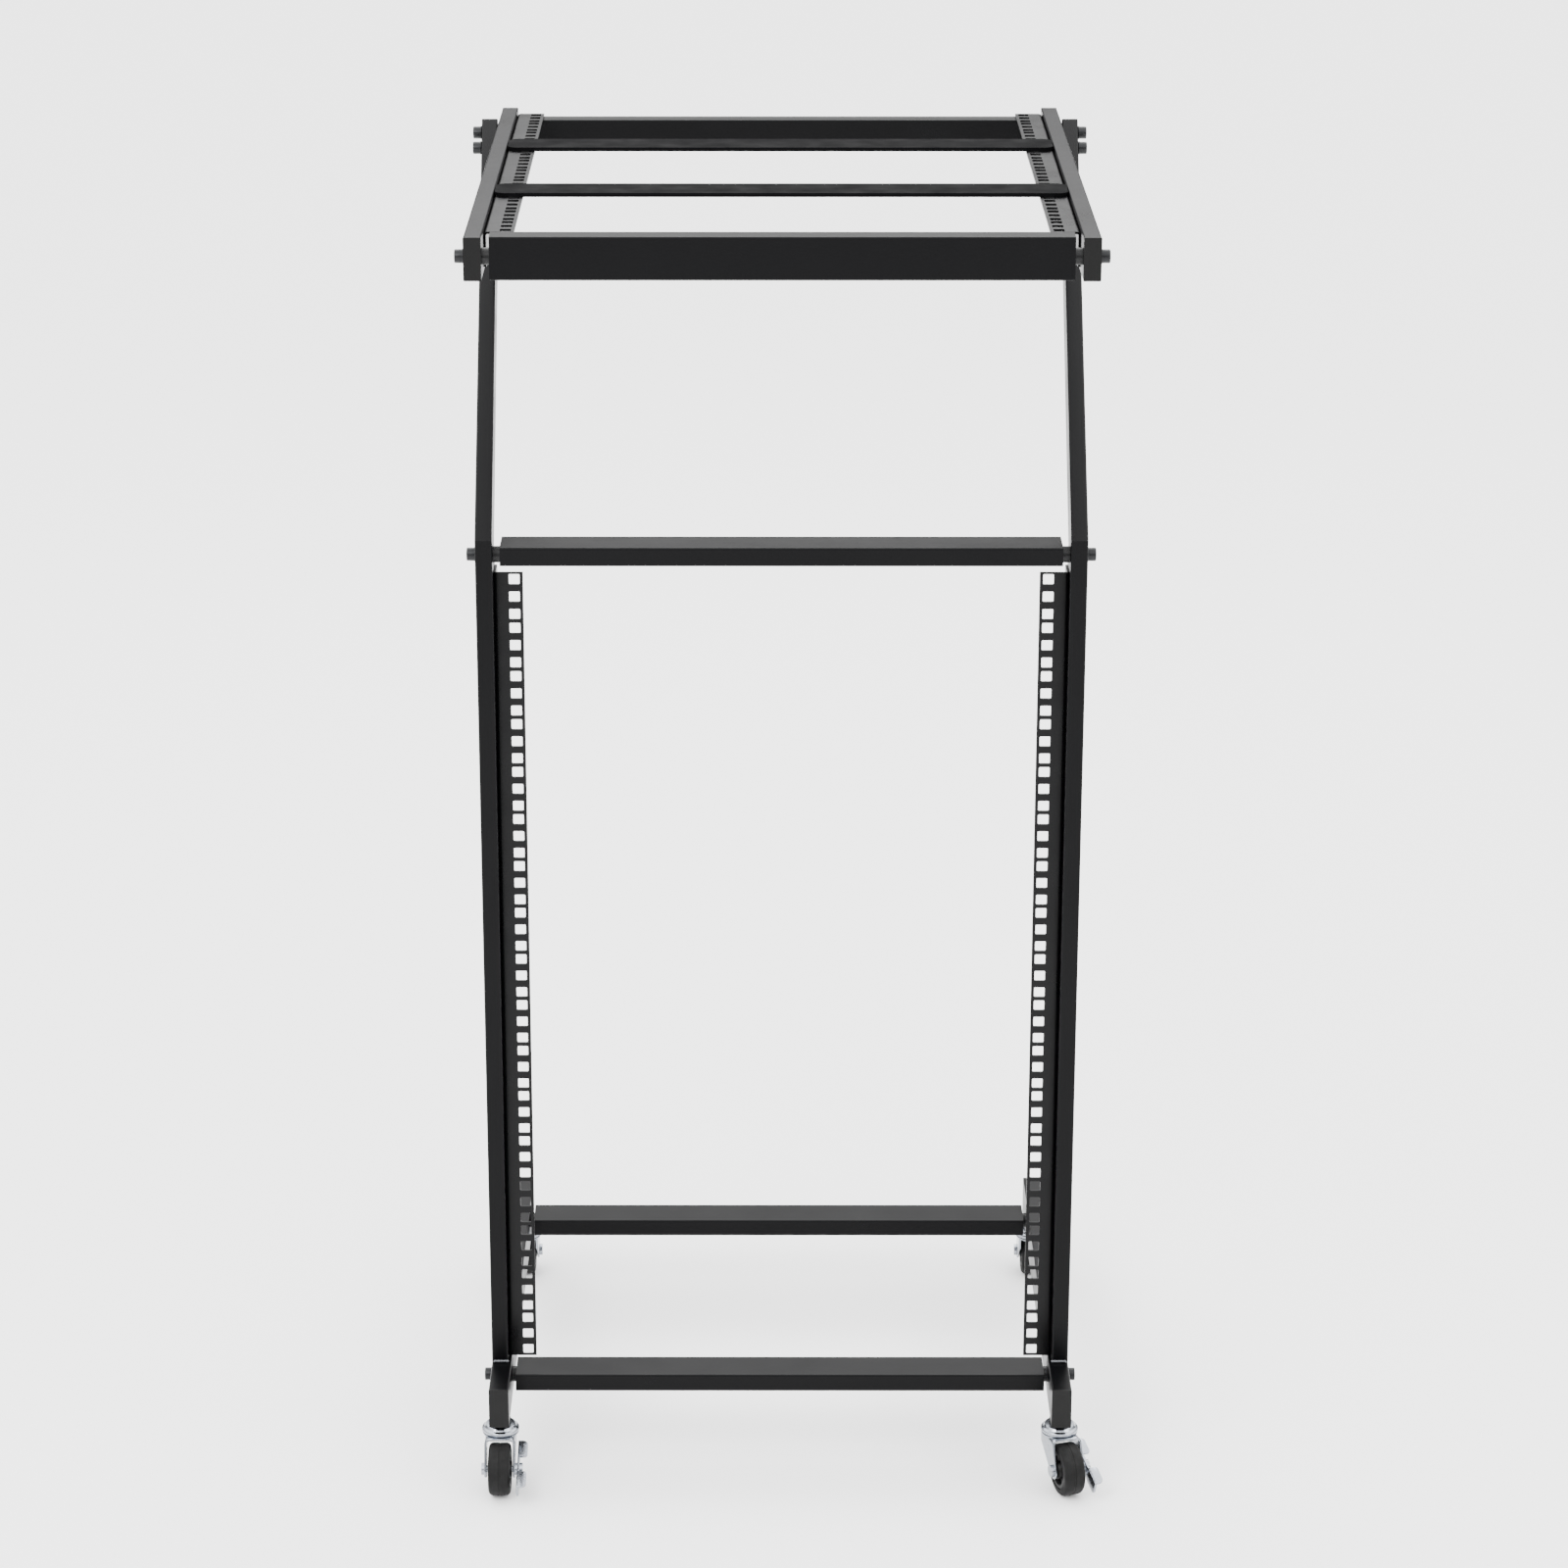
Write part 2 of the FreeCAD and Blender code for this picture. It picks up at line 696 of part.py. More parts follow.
def weld_beads():
    """Fillet welds in front of and behind the foot of each post."""
    beads = []
    for side, word in ((LEFT, "left"), (RIGHT, "right")):
        for end, label in ((FRONT, "front"), (REAR, "rear")):
            body = new_body("bead_%s_%s" % (label, word))
            sketch = plane_sketch(body, "YZ_Plane", "-tube_wide / 2 + tube_corner")
            ring(sketch, [("0", "0"), ("%d * bead" % end, "0"), ("0", "bead")])
            pad(body, sketch, "tube_wide - 2 * tube_corner")
            beads.append(place(body, "%d * post_centre" % side,
                               "post_middle + %d * half_deep" % end, "base_top"))
    group("weld_beads", beads)


def caster_stem(name):
    body = new_body(name)
    sketch = plane_sketch(body, "XZ_Plane")
    head_top = "crown_low - stem_play"
    ring(sketch, [("0", "stem_head_low"), ("stem_head", "stem_head_low"), ("stem_head", head_top),
                  ("stem_radius", head_top), ("stem_radius", "stem_top"), ("0", "stem_top")])
    revolve(body, sketch, "V_Axis")
    return body


def race_cap(name):
    body = new_body(name)
    sketch = plane_sketch(body, "XZ_Plane")
    hole = "stem_radius + pin_fit"
    ring(sketch, [(hole, "race_low"), ("race_radius", "race_low"),
                  ("race_radius", "caster_nut_low - race_slope"),
                  ("race_radius - race_slope", "caster_nut_low"), (hole, "caster_nut_low")])
    revolve(body, sketch, "V_Axis")
    return body


def fork(name, x, y, turn):
    """Pressed crown and two cheeks that narrow to the axle."""
    body = new_body(name)
    sketch = plane_sketch(body, "XY_Plane", "crown_low")
    circle(sketch, "0", "0", "crown_radius")
    pad(body, sketch, "crown_thick")
    sketch = plane_sketch(body, "XY_Plane", "crown_low")
    ring(sketch, box_corners("-fork_outer", "-fork_front", "fork_outer", "fork_back"))
    pad(body, sketch, "crown_thick")
    foot_y, foot_z = "fork_foot * cos(45 deg) - trail", "wheel_radius - fork_foot * sin(45 deg)"
    cheek = [("fork_back", "crown_low"), ("-fork_front", "crown_low"),
             ("-trail - fork_foot", "wheel_radius"), ("-trail", "wheel_radius"),
             (foot_y, foot_z), ("fork_back", "fork_knee")]
    for start in ("-fork_outer", "half_fork"):
        sketch = plane_sketch(body, "YZ_Plane", start)
        ring(sketch, cheek)
        pad(body, sketch, "fork_plate")
        sketch = plane_sketch(body, "YZ_Plane", start)
        circle(sketch, "-trail", "wheel_radius", "fork_foot")
        pad(body, sketch, "fork_plate")
    bore(body, "XY_Plane", "0", "0", "stem_radius + pin_fit")
    bore(body, "YZ_Plane", "-trail", "wheel_radius", "axle_radius + pin_fit")
    place(body, x, y, "0", turned(turn))
    return keep(body)


def axle(name, braked):
    """Axle along X with a head at each end, and a shoulder under a pedal."""
    body = new_body(name)
    sketch = plane_sketch(body, "XY_Plane")
    near, wide = "fork_outer", "axle_head"
    corners = [("-(fork_outer + axle_head_thick)", "0"), ("-(fork_outer + axle_head_thick)", wide),
               ("-fork_outer", wide), ("-fork_outer", "axle_radius"), (near, "axle_radius")]
    if braked:
        corners += [(near, wide), ("pedal_inner", wide), ("pedal_inner", "axle_radius"),
                    ("pedal_outer", "axle_radius"), ("pedal_outer", wide)]
        end = "pedal_outer + axle_head_thick"
    else:
        corners.append((near, wide))
        end = "fork_outer + axle_head_thick"
    corners += [(end, wide), (end, "0")]
    ring(sketch, corners)
    revolve(body, sketch, "H_Axis")
    return body


def tyre(name):
    body = new_body(name)
    sketch = plane_sketch(body, "XY_Plane")
    ring(sketch, box_corners("-tread_wide / 2", "tyre_bore", "tread_wide / 2", "wheel_radius"))
    revolve(body, sketch, "H_Axis")
    doc.recompute()
    rim = [number for number, edge in enumerate(body.Tip.Shape.Edges, 1)
           if edge.Curve.TypeId == "Part::GeomCircle"
           and edge.Curve.Radius > sheet.wheel_radius * CORNER_SHARE]
    feature = body.newObject("PartDesign::Fillet", name + "_round")
    feature.Base = (body.Group[-2], ["Edge%d" % number for number in rim])
    bind(feature, Radius="tread_round")
    return body


def hub(name):
    body = new_body(name)
    sketch = plane_sketch(body, "XY_Plane")
    right = [("hub_wide / 2", "hub_bore"), ("hub_wide / 2", "hub_boss"), ("hub_web / 2", "hub_boss"),
             ("hub_web / 2", "hub_rim"), ("hub_rim_wide / 2", "hub_rim"),
             ("hub_rim_wide / 2", "tyre_inner")]
    left = [("-" + across, up) for across, up in reversed(right)]
    ring(sketch, left + right)
    revolve(body, sketch, "H_Axis")
    return body


def brake_pedal(name):
    """Two-lobed rocker on the axle, with a foot tread at each end."""
    body = new_body(name)
    sketch = plane_sketch(body, "YZ_Plane", "pedal_inner")
    ring(sketch, centred("2 * pedal_half", "pedal_width"))
    pad(body, sketch, "pedal_thick")
    round_long_edges(body, V(1, 0, 0), "pedal_corner")
    for end in (FRONT, REAR):
        sketch = plane_sketch(body, "XY_Plane", "pedal_width / 2 - pedal_thick")
        ring(sketch, box_corners("pedal_inner", "%d * (pedal_half - pedal_tread)" % end,
                                 "pedal_inner + pedal_flare", "%d * (pedal_half - pedal_corner)" % end))
        pad(body, sketch, "pedal_thick")
    bore(body, "YZ_Plane", "0", "0", "axle_radius + pin_fit")
    return body


def at_axle(body, x, y, turn, extra=None):
    """Put a piece on the axle of a caster that is turned on its stem."""
    across = "%s + trail * sin(%g deg)" % (x, turn)
    along = "%s - trail * cos(%g deg)" % (y, turn)
    rotation = turned(turn) * extra if extra else turned(turn)
    return keep(place(body, across, along, "wheel_radius", rotation))


def casters():
    """Four swivel casters; the front two have brake pedals."""
    stems, caps, nuts = [], [], []
    spots = [("front_left", LEFT, FRONT, 0), ("front_right", RIGHT, FRONT, sheet.front_right_turn),
             ("rear_left", LEFT, REAR, 180), ("rear_right", RIGHT, REAR, 180)]
    for word, side, end, turn in spots:
        x = "%d * base_centre" % side
        y = "rail_plane - stem_ahead" if end == FRONT else "rail_plane + stem_back"
        stems.append(place(caster_stem("stem_" + word), x, y))
        caps.append(place(race_cap("race_" + word), x, y))
        nut = hex_nut("nut_" + word, "caster_nut", "base_rise - caster_nut_low",
                      "stem_radius + pin_fit", "XY_Plane")
        nuts.append(place(nut, x, y, "caster_nut_low"))
        fork("caster_fork_" + word, x, y, turn)
        at_axle(axle("caster_axle_" + word, end == FRONT), x, y, turn)
        at_axle(tyre("caster_tyre_" + word), x, y, turn)
        at_axle(hub("caster_hub_" + word), x, y, turn)
        if end == FRONT:
            tilt = FreeCAD.Rotation(V(1, 0, 0), sheet.pedal_tilt)
            at_axle(brake_pedal("brake_pedal_" + word), x, y, turn, tilt)
    group("caster_stems", stems)
    group("caster_race_caps", caps)
    group("caster_nuts", nuts)


def side_frames():
    for side, word in ((LEFT, "left"), (RIGHT, "right")):
        base_tube(side, "base_tube_" + word)
        lower_post(side, "lower_post_" + word)
        post_end(upper_post(side, "upper_post_" + word), side)
        front_rail(side, "front_rail_" + word)
        top_rail(side, "top_rail_" + word)
        top_side_tube(side, "top_side_tube_" + word)


def cross_tubes():
    cross_tube("lower_crossbar", "tube_deep", "bar_tall", "post_middle", "low_bar_height")
    cross_tube("mid_crossbar", "tube_deep", "bar_tall", "post_middle", "mid_bar_height")
    cross_tube("rear_crossbar", "tube_deep", "bar_tall", "rail_plane + rear_bar_back",
               "low_bar_height")
    cross_tube("top_front_cross_tube", "cross_deep", "side_tall", "front_cross_y", "side_middle")
    cross_tube("top_rear_cross_tube", "rear_cross_deep", "rear_cross_tall", "rear_cross_y",
               "rear_cross_height")
    support_bar("support_bar_front", "support_front_back")
    support_bar("support_bar_rear", "support_rear_back")


def write_parts():
    """Check every object, then write one file for each sub-part."""
    doc.recompute()
    for item in doc.Objects:
        state = " ".join(item.State)
        if "Invalid" in state or "Error" in state:
            raise RuntimeError("%s is %s" % (item.Name, state))
    os.makedirs("parts", exist_ok=True)
    for item in parts:
        shape = item.Shape
        if shape.isNull() or not shape.isValid():
            raise RuntimeError("%s has no valid shape" % item.Label)
        shape.exportStep("parts/%s.step" % item.Label)
        print("%-26s %3d solids %12.1f mm3" % (item.Label, len(shape.Solids), shape.Volume))


side_frames()
cross_tubes()
crossbar_fittings()
top_joint()
tube_ends()
weld_beads()
casters()
write_parts()
whole = Part.makeCompound([item.Shape for item in parts])
print(len(parts), "nodes", whole.BoundBox)
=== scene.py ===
import math

import bmesh
import bpy
from mathutils import Matrix, Vector


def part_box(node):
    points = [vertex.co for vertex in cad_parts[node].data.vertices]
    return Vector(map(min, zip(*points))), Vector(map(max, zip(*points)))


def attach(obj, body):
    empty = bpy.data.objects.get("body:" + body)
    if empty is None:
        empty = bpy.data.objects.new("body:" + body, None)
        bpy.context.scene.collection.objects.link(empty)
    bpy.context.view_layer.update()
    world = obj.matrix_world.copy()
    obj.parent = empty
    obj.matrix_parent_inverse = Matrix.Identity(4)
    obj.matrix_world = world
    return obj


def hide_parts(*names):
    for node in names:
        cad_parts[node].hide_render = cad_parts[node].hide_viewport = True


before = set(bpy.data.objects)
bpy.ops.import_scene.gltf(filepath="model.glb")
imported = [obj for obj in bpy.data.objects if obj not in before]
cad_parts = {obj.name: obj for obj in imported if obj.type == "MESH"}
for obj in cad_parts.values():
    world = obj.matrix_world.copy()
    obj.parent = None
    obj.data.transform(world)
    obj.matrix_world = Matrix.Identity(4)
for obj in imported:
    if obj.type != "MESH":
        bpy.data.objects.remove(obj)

bl_info = {
    "name": "Rack stand dressing",
    "version": (1, 0, 0),
    "blender": (4, 2, 0),
    "location": "3D View > Sidebar > Stand",
    "description": "Dresses the studio rack stand with its visible pieces and finishes",
    "category": "Object",
}

MM = 0.001
SIDES = {"left": -1, "right": 1}
CASTERS = {"front_left": 0.0, "front_right": 17.0, "rear_left": 180.0, "rear_right": 180.0}
CORNER_STEPS = 4
SMOOTH_ANGLE = math.radians(35)
POST_LEAN = math.radians(30)
POST_SPLAY = math.radians(1.81)
PEDAL_TILT = math.radians(19)
WELD_DROPS = 9
HUB_RIBS = 6
CHEEK_STEPS = 24
BEND_STEPS = 5
BEAD_RADIUS = 0.55
BEAD_LIFT = 0.42
BEAD_INSET = (0.45, 0.72)
BEAD_ENDS = 1.3
CHEEK_ACROSS = 8
WELD_SEAM = 0.002 * MM
LIGHTS = {
    "key": ((-1.6, -2.2, 2.6), (0, 0, 0.6), 70, 1.6, 1.2),
    "fill": ((2.2, -1.6, 1.4), (0, 0, 0.6), 26, 1.4, 1.4),
    "back": ((0.0, 2.4, 2.8), (0, 0, 1.1), 40, 2.4, 1.2),
}
SKY_LOW, SKY_HIGH = 0.25, 4.6
FLOOR_HALF = 12
FLOOR_DROP = 0.5 * MM
LENS, SENSOR = 98.79, 36.0
LENS_SHIFT = (0.0168, -0.05)
CAMERA_PLACE = (-0.017, -3.794, 1.933)
CAMERA_TURN = (math.radians(90 - 18.43), 0, math.radians(0.057))
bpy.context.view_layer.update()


def linear(code):
    """A linear colour from an sRGB hex code."""
    parts = [int(code[place:place + 2], 16) / 255 for place in (1, 3, 5)]
    return tuple(p / 12.92 if p <= 0.04045 else ((p + 0.055) / 1.055) ** 2.4 for p in parts)


def size(title, millimetres, about):
    return bpy.props.FloatProperty(
        name=title, default=millimetres * MM, unit="LENGTH", description=about)


def colour(title, code, about):
    return bpy.props.FloatVectorProperty(
        name=title, default=linear(code), size=3, subtype="COLOR", min=0, max=1, description=about)


class StandSizes(bpy.types.PropertyGroup):
    rack_unit: size("Rack unit", 44.45, "Height of one rack unit")
    hole_step: size("Hole step", 15.875, "Distance between the holes inside one rack unit")
    hole_margin: size("Hole margin", 6.35, "From the end of a rack unit to its first hole")
    hole_size: size("Square hole", 9.5, "Width of a cage nut hole")
    hole_round: size("Hole corner", 0.9, "Corner radius that the punch leaves")
    hole_column: size("Hole column", 232.55, "From the middle of the stand to a column of holes")
    rail_thick: size("Rail sheet", 2.0, "Thickness of the rail's sheet steel")
    rail_bend: size("Rail bend", 3.0, "Outer radius where the rail's sheet is folded")
    bolt_head: size("Bolt head", 6.2, "Radius of a socket bolt's head")
    bolt_tall: size("Head height", 6.6, "Height of a socket bolt's head above its washer")
    bolt_key: size("Bolt key", 2.7, "Radius of the hexagon socket")
    key_deep: size("Key depth", 3.0, "Depth of the hexagon socket")
    key_floor: size("Key floor", 0.4, "Thickness of the disc that closes the socket")
    shank: size("Bolt shank", 37.5, "Length of a bolt below its washer")
    washer: size("Washer", 1.4, "Thickness of the washer under a bolt head")
    tread_round: size("Tread shoulder", 4.0, "Radius of the tyre's shoulders")
    tread_line: size("Parting line", 0.35, "Half width and depth of the line round the tread")
    tyre_thick: size("Tyre thickness", 6.9, "From the tyre's seat on the hub to its tread")
    hub_bore: size("Hub bore", 3.1, "Radius of the hole for the axle")
    hub_boss: size("Hub boss", 8.0, "Radius of the hub's middle")
    hub_web: size("Hub web", 4.0, "Half the thickness of the hub's web")
    hub_wall: size("Hub wall", 3.0, "Thickness of the hub's rim")
    hub_ledge: size("Hub ledge", 1.5, "How far the rim stays inside the boss")
    rib_thick: size("Rib thickness", 1.8, "Thickness of a hub rib")
    rib_deep: size("Rib depth", 3.2, "How far a rib stands out of the web")
    sheet: size("Pressed sheet", 2.0, "Thickness of the caster fork's pressed sheet")
    fork_foot: size("Fork foot", 8.0, "Radius of a cheek round the axle")
    fork_front: size("Fork front", 19.0, "From the stem to the front of the fork's crown")
    fork_back: size("Fork back", 10.0, "From the stem to the back of the fork's crown")
    fork_knee: size("Fork knee", 40.0, "Height where a cheek's back edge turns upright")
    fork_bend: size("Fork bend", 4.0, "Radius between a cheek and the crown")
    axle_head: size("Axle head", 2.8, "Thickness of the axle's head at each end")
    stem_hole: size("Stem hole", 5.06, "Radius of the holes round a caster stem")
    dish_radius: size("Race dish", 17.0, "Radius of the dish pressed into the crown")
    dish_deep: size("Dish depth", 2.4, "Depth of the dish pressed into the crown")
    race_radius: size("Race cap", 17.1, "Radius of the race cap")
    race_wall: size("Race wall", 3.2, "Height of the race cap's upright wall")
    pedal_half: size("Pedal half", 29.0, "From the axle to either end of a pedal")
    pedal_width: size("Pedal width", 14.0, "Height of a pedal's side plate at its lobes")
    pedal_waist: size("Pedal waist", 7.5, "Height of the side plate's narrow middle")
    pedal_tread: size("Pedal tread", 20.0, "Length of the tab that the foot presses")
    pedal_flare: size("Pedal flare", 9.0, "How far the tab stands out")
    pedal_out: size("Pedal out", 16.0, "From the wheel's middle to the side plate")
    edge: size("Edge", 0.5, "Radius that tumbling leaves on pressed edges")


class StandFinishes(bpy.types.PropertyGroup):
    powder: colour("Powder coat", "#050506", "Black powder coat on the tubes")
    rail: colour("Rail coat", "#060607", "Black coat on the rack rails")
    oxide: colour("Black oxide", "#131416", "Black oxide on bolts and nuts")
    zinc: colour("Zinc plate", "#9599a0", "Bright zinc plate on the casters")
    weld: colour("Weld metal", "#55575a", "Weld metal that the thin coat leaves bright")
    rubber: colour("Tread rubber", "#0a0a0a", "Black rubber of the tyres")
    plastic: colour("Moulded plastic", "#080808", "Black moulded plugs and hubs")
    nylon: colour("Nylon", "#121213", "Dark nylon of the spacers")
    steel: colour("Bare steel", "#9a9c9f", "Machined steel of the end blocks")
    floor: colour("Floor", "#f7f7f7", "Pale studio floor")


def sizes():
    return bpy.context.scene.stand_sizes


def finishes():
    return bpy.context.scene.stand_finishes


# Nodes and materials

def add(tree, kind, inputs=None, **settings):
    """Add a node, with its settings, values and links."""
    node = tree.nodes.new(kind)
    for name, value in settings.items():
        setattr(node, name, value)
    for name, value in (inputs or {}).items():
        if isinstance(value, bpy.types.NodeSocket):
            tree.links.new(value, node.inputs[name])
        else:
            node.inputs[name].default_value = value
    return node


def surface(name, shade, metallic, roughness, **shader_values):
    """A new material with its Principled shader, or None in its place if it is made already."""
    if name in bpy.data.materials:
        return bpy.data.materials[name], None, None
    material = bpy.data.materials.new(name)
    material.use_nodes = True
    tree = material.node_tree
    shader = tree.nodes["Principled BSDF"]
    shader.inputs["Base Color"].default_value = (*shade, 1)
    shader.inputs["Metallic"].default_value = metallic
    shader.inputs["Roughness"].default_value = roughness
    for title, value in shader_values.items():
        shader.inputs[title.replace("_", " ")].default_value = value
    return material, tree, shader


def grain(tree, shader, grain_mm, depth_mm, strength):
    """Bump from noise whose grains have a real size."""
    place = add(tree, "ShaderNodeTexCoord")
    noise = add(tree, "ShaderNodeTexNoise", {
        "Vector": place.outputs["Object"], "Scale": 1 / (grain_mm * MM), "Detail": 2.0})
    bump = add(tree, "ShaderNodeBump", {
        "Height": noise.outputs["Fac"], "Distance": depth_mm * MM, "Strength": strength})
    tree.links.new(bump.outputs["Normal"], shader.inputs["Normal"])
    return place


def uneven(tree, shader, place, patch_mm, low, high):
    """Roughness that wanders between two values over patches of a real size."""
    noise = add(tree, "ShaderNodeTexNoise", {
        "Vector": place.outputs["Object"], "Scale": 1 / (patch_mm * MM), "Detail": 3.0})
    spread = add(tree, "ShaderNodeMapRange", {
        "Value": noise.outputs["Fac"], "From Min": 0.3, "From Max": 0.7,
        "To Min": low, "To Max": high})
    tree.links.new(spread.outputs["Result"], shader.inputs["Roughness"])


def powder_coated_steel():
    """Baked powder: near black, with a satin orange peel that goes grey at a low angle."""
    material, tree, shader = surface(
        "powder_coated_steel", finishes().powder, 0.0, 0.34, IOR=1.55, Specular_IOR_Level=0.07)
    if tree:
        # Orange peel is about 1.5 mm across, drawn at 2 mm so that it shows.
        place = grain(tree, shader, 2.0, 0.05, 0.25)
        uneven(tree, shader, place, 60.0, 0.27, 0.38)
    return material


def matte_coated_bar():
    """Matte coat on the support bars, which stays dark at a low angle."""
    material, tree, shader = surface(
        "matte_coated_bar", finishes().powder, 0.0, 0.8, IOR=1.45, Specular_IOR_Level=0.05)
    if tree:
        place = grain(tree, shader, 1.5, 0.05, 0.4)
        uneven(tree, shader, place, 25.0, 0.72, 0.88)
    return material


def coated_rail_sheet():
    """Thinner coat on punched sheet: a little smoother, so the flanges catch more light."""
    material, tree, shader = surface(
        "coated_rail_sheet", finishes().rail, 0.0, 0.3, IOR=1.55, Specular_IOR_Level=0.1)
    if tree:
        place = grain(tree, shader, 1.6, 0.04, 0.2)
        uneven(tree, shader, place, 35.0, 0.24, 0.36)
    return material


def black_oxide_bolt():
    """Oxide over steel: dark, with a soft metal shine on the edges."""
    material, tree, shader = surface("black_oxide_bolt", finishes().oxide, 0.6, 0.36)
    if tree:
        place = grain(tree, shader, 0.8, 0.02, 0.2)
        uneven(tree, shader, place, 4.0, 0.3, 0.44)
    return material


def bright_zinc_plate():
    """Zinc on pressed steel: a bright mirror, slightly clouded from the barrel."""
    material, tree, shader = surface("bright_zinc_plate", finishes().zinc, 1.0, 0.22)
    if tree:
        place = grain(tree, shader, 3.0, 0.04, 0.25)
        uneven(tree, shader, place, 8.0, 0.14, 0.3)
    return material


def weld_bead_steel():
    """Ripples of weld that shine through a thin coat."""
    material, tree, shader = surface("weld_bead_steel", finishes().weld, 0.9, 0.3)
    if tree:
        place = grain(tree, shader, 1.2, 0.1, 0.5)
        uneven(tree, shader, place, 3.0, 0.22, 0.42)
    return material


def tread_rubber():
    """Moulded rubber: dull, with fine wear."""
    material, tree, shader = surface(
        "tread_rubber", finishes().rubber, 0.0, 0.6, IOR=1.52, Specular_IOR_Level=0.15)
    if tree:
        place = grain(tree, shader, 1.0, 0.05, 0.4)
        uneven(tree, shader, place, 9.0, 0.56, 0.76)
    return material


def moulded_black_plastic():
    """Injection moulded: a fine spark texture that stays darker than the coat."""
    material, tree, shader = surface(
        "moulded_black_plastic", finishes().plastic, 0.0, 0.42, IOR=1.49, Specular_IOR_Level=0.15)
    if tree:
        place = grain(tree, shader, 0.9, 0.04, 0.35)
        uneven(tree, shader, place, 15.0, 0.36, 0.5)
    return material


def dark_nylon():
    """Turned nylon: waxy and dark."""
    material, tree, shader = surface(
        "dark_nylon", finishes().nylon, 0.0, 0.38, IOR=1.53, Specular_IOR_Level=0.2)
    if tree:
        place = grain(tree, shader, 0.7, 0.02, 0.2)
        uneven(tree, shader, place, 5.0, 0.32, 0.44)
    return material


def machined_steel():
    """Bare sawn and machined steel inside the tube ends."""
    material, tree, shader = surface("machined_steel", finishes().steel, 1.0, 0.38)
    if tree:
        place = grain(tree, shader, 0.6, 0.02, 0.3)
        uneven(tree, shader, place, 6.0, 0.3, 0.46)
    return material


def paper_floor():
    """Seamless paper: even and matte."""
    return surface("paper_floor", finishes().floor, 0.0, 0.9)[0]


# Meshes

def smooth(mesh):
    mesh.polygons.foreach_set("use_smooth", [True] * len(mesh.polygons))
    mesh.set_sharp_from_angle(angle=SMOOTH_ANGLE)


def finish_piece(obj, body, nodes):
    """A plain mesh with outward faces, tied to its body and its CAD nodes."""
    bpy.context.view_layer.update()
    graph = bpy.context.evaluated_depsgraph_get()
    mesh = bpy.data.meshes.new_from_object(obj.evaluated_get(graph))
    obj.modifiers.clear()
    obj.data = mesh
    shell = bmesh.new()
    shell.from_mesh(mesh)
    bmesh.ops.remove_doubles(shell, verts=shell.verts, dist=WELD_SEAM)
    open_edges = [edge for edge in shell.edges if edge.is_boundary]
    if open_edges:
        bmesh.ops.holes_fill(shell, edges=open_edges, sides=0)
    bmesh.ops.recalc_face_normals(shell, faces=shell.faces)
    shell.to_mesh(mesh)
    shell.free()
    smooth(mesh)
    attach(obj, body)
    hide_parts(*nodes)
    return obj


def new_object(name, shell, material):
    mesh = bpy.data.meshes.new(name)
    shell.to_mesh(mesh)
    shell.free()
    mesh.materials.append(material)
    obj = bpy.data.objects.new(name, mesh)
    bpy.context.scene.collection.objects.link(obj)
    return obj


def bevel(obj, width, segments=2):
    tool = obj.modifiers.new("edge", "BEVEL")
    tool.width = width
    tool.segments = segments
    tool.limit_method = "ANGLE"
    tool.angle_limit = SMOOTH_ANGLE


def rounded(corners, radii, steps=CORNER_STEPS):
    """A closed outline whose corners are rounded, each by its own radius."""
    outline = []
    count = len(corners)
    for number, corner in enumerate(corners):
        here = Vector(corner)
        before = (Vector(corners[number - 1]) - here).normalized()
        after = (Vector(corners[(number + 1) % count]) - here).normalized()
        radius = radii[number] if isinstance(radii, (list, tuple)) else radii
        if radius <= 0:
            outline.append(here)
            continue
        half = before.angle(after) / 2
        centre = here + (before + after).normalized() * (radius / math.sin(half))
        first = here + before * (radius / math.tan(half)) - centre
        last = here + after * (radius / math.tan(half)) - centre
        for step in range(steps + 1):
            share = step / steps
            outline.append(centre + first.slerp(last, share).normalized() * radius)
    return outline


def turned_about(shell, profile, place, segments=56):
    """Sweep a closed (along, radius) profile round the first axis of a placement."""
    rings = []
    for step in range(segments):
        angle = math.tau * step / segments
        across, up = math.cos(angle), math.sin(angle)
        rings.append([shell.verts.new(place @ Vector((along, radius * across, radius * up)))
                      for along, radius in profile])
    count = len(profile)
    for step in range(segments):
        here, there = rings[step], rings[(step + 1) % segments]
        for number in range(count):
            other = (number + 1) % count
            shell.faces.new((here[number], here[other], there[other], there[number]))


def slab(shell, outline, thick, place):
    """A plate from its outline, extruded along the placement's first axis."""
    low = [shell.verts.new(place @ Vector((0, point[0], point[1]))) for point in outline]
    high = [shell.verts.new(place @ Vector((thick, point[0], point[1]))) for point in outline]
    shell.faces.new(low)
    shell.faces.new(list(reversed(high)))
    count = len(outline)
    for number in range(count):
        other = (number + 1) % count
        shell.faces.new((low[number], high[number], high[other], low[other]))


def tree_with(name, inputs):
    """A geometry tree with named inputs, and its group nodes."""
    tree = bpy.data.node_groups.new(name, "GeometryNodeTree")
    tree.interface.new_socket("Geometry", in_out="OUTPUT", socket_type="NodeSocketGeometry")
    tree.interface.new_socket("Geometry", in_out="INPUT", socket_type="NodeSocketGeometry")
    for title, kind in inputs:
        tree.interface.new_socket(title, in_out="INPUT", socket_type=kind)
    return tree, tree.nodes.new("NodeGroupInput")


def close_tree(tree, geometry, material):
    """End a tree in real geometry with its material."""
    real = add(tree, "GeometryNodeRealizeInstances", {"Geometry": geometry})
    coated = add(tree, "GeometryNodeSetMaterial", {"Geometry": real.outputs[0], "Material": material})
    out = tree.nodes.new("NodeGroupOutput")
    tree.links.new(coated.outputs[0], out.inputs[0])


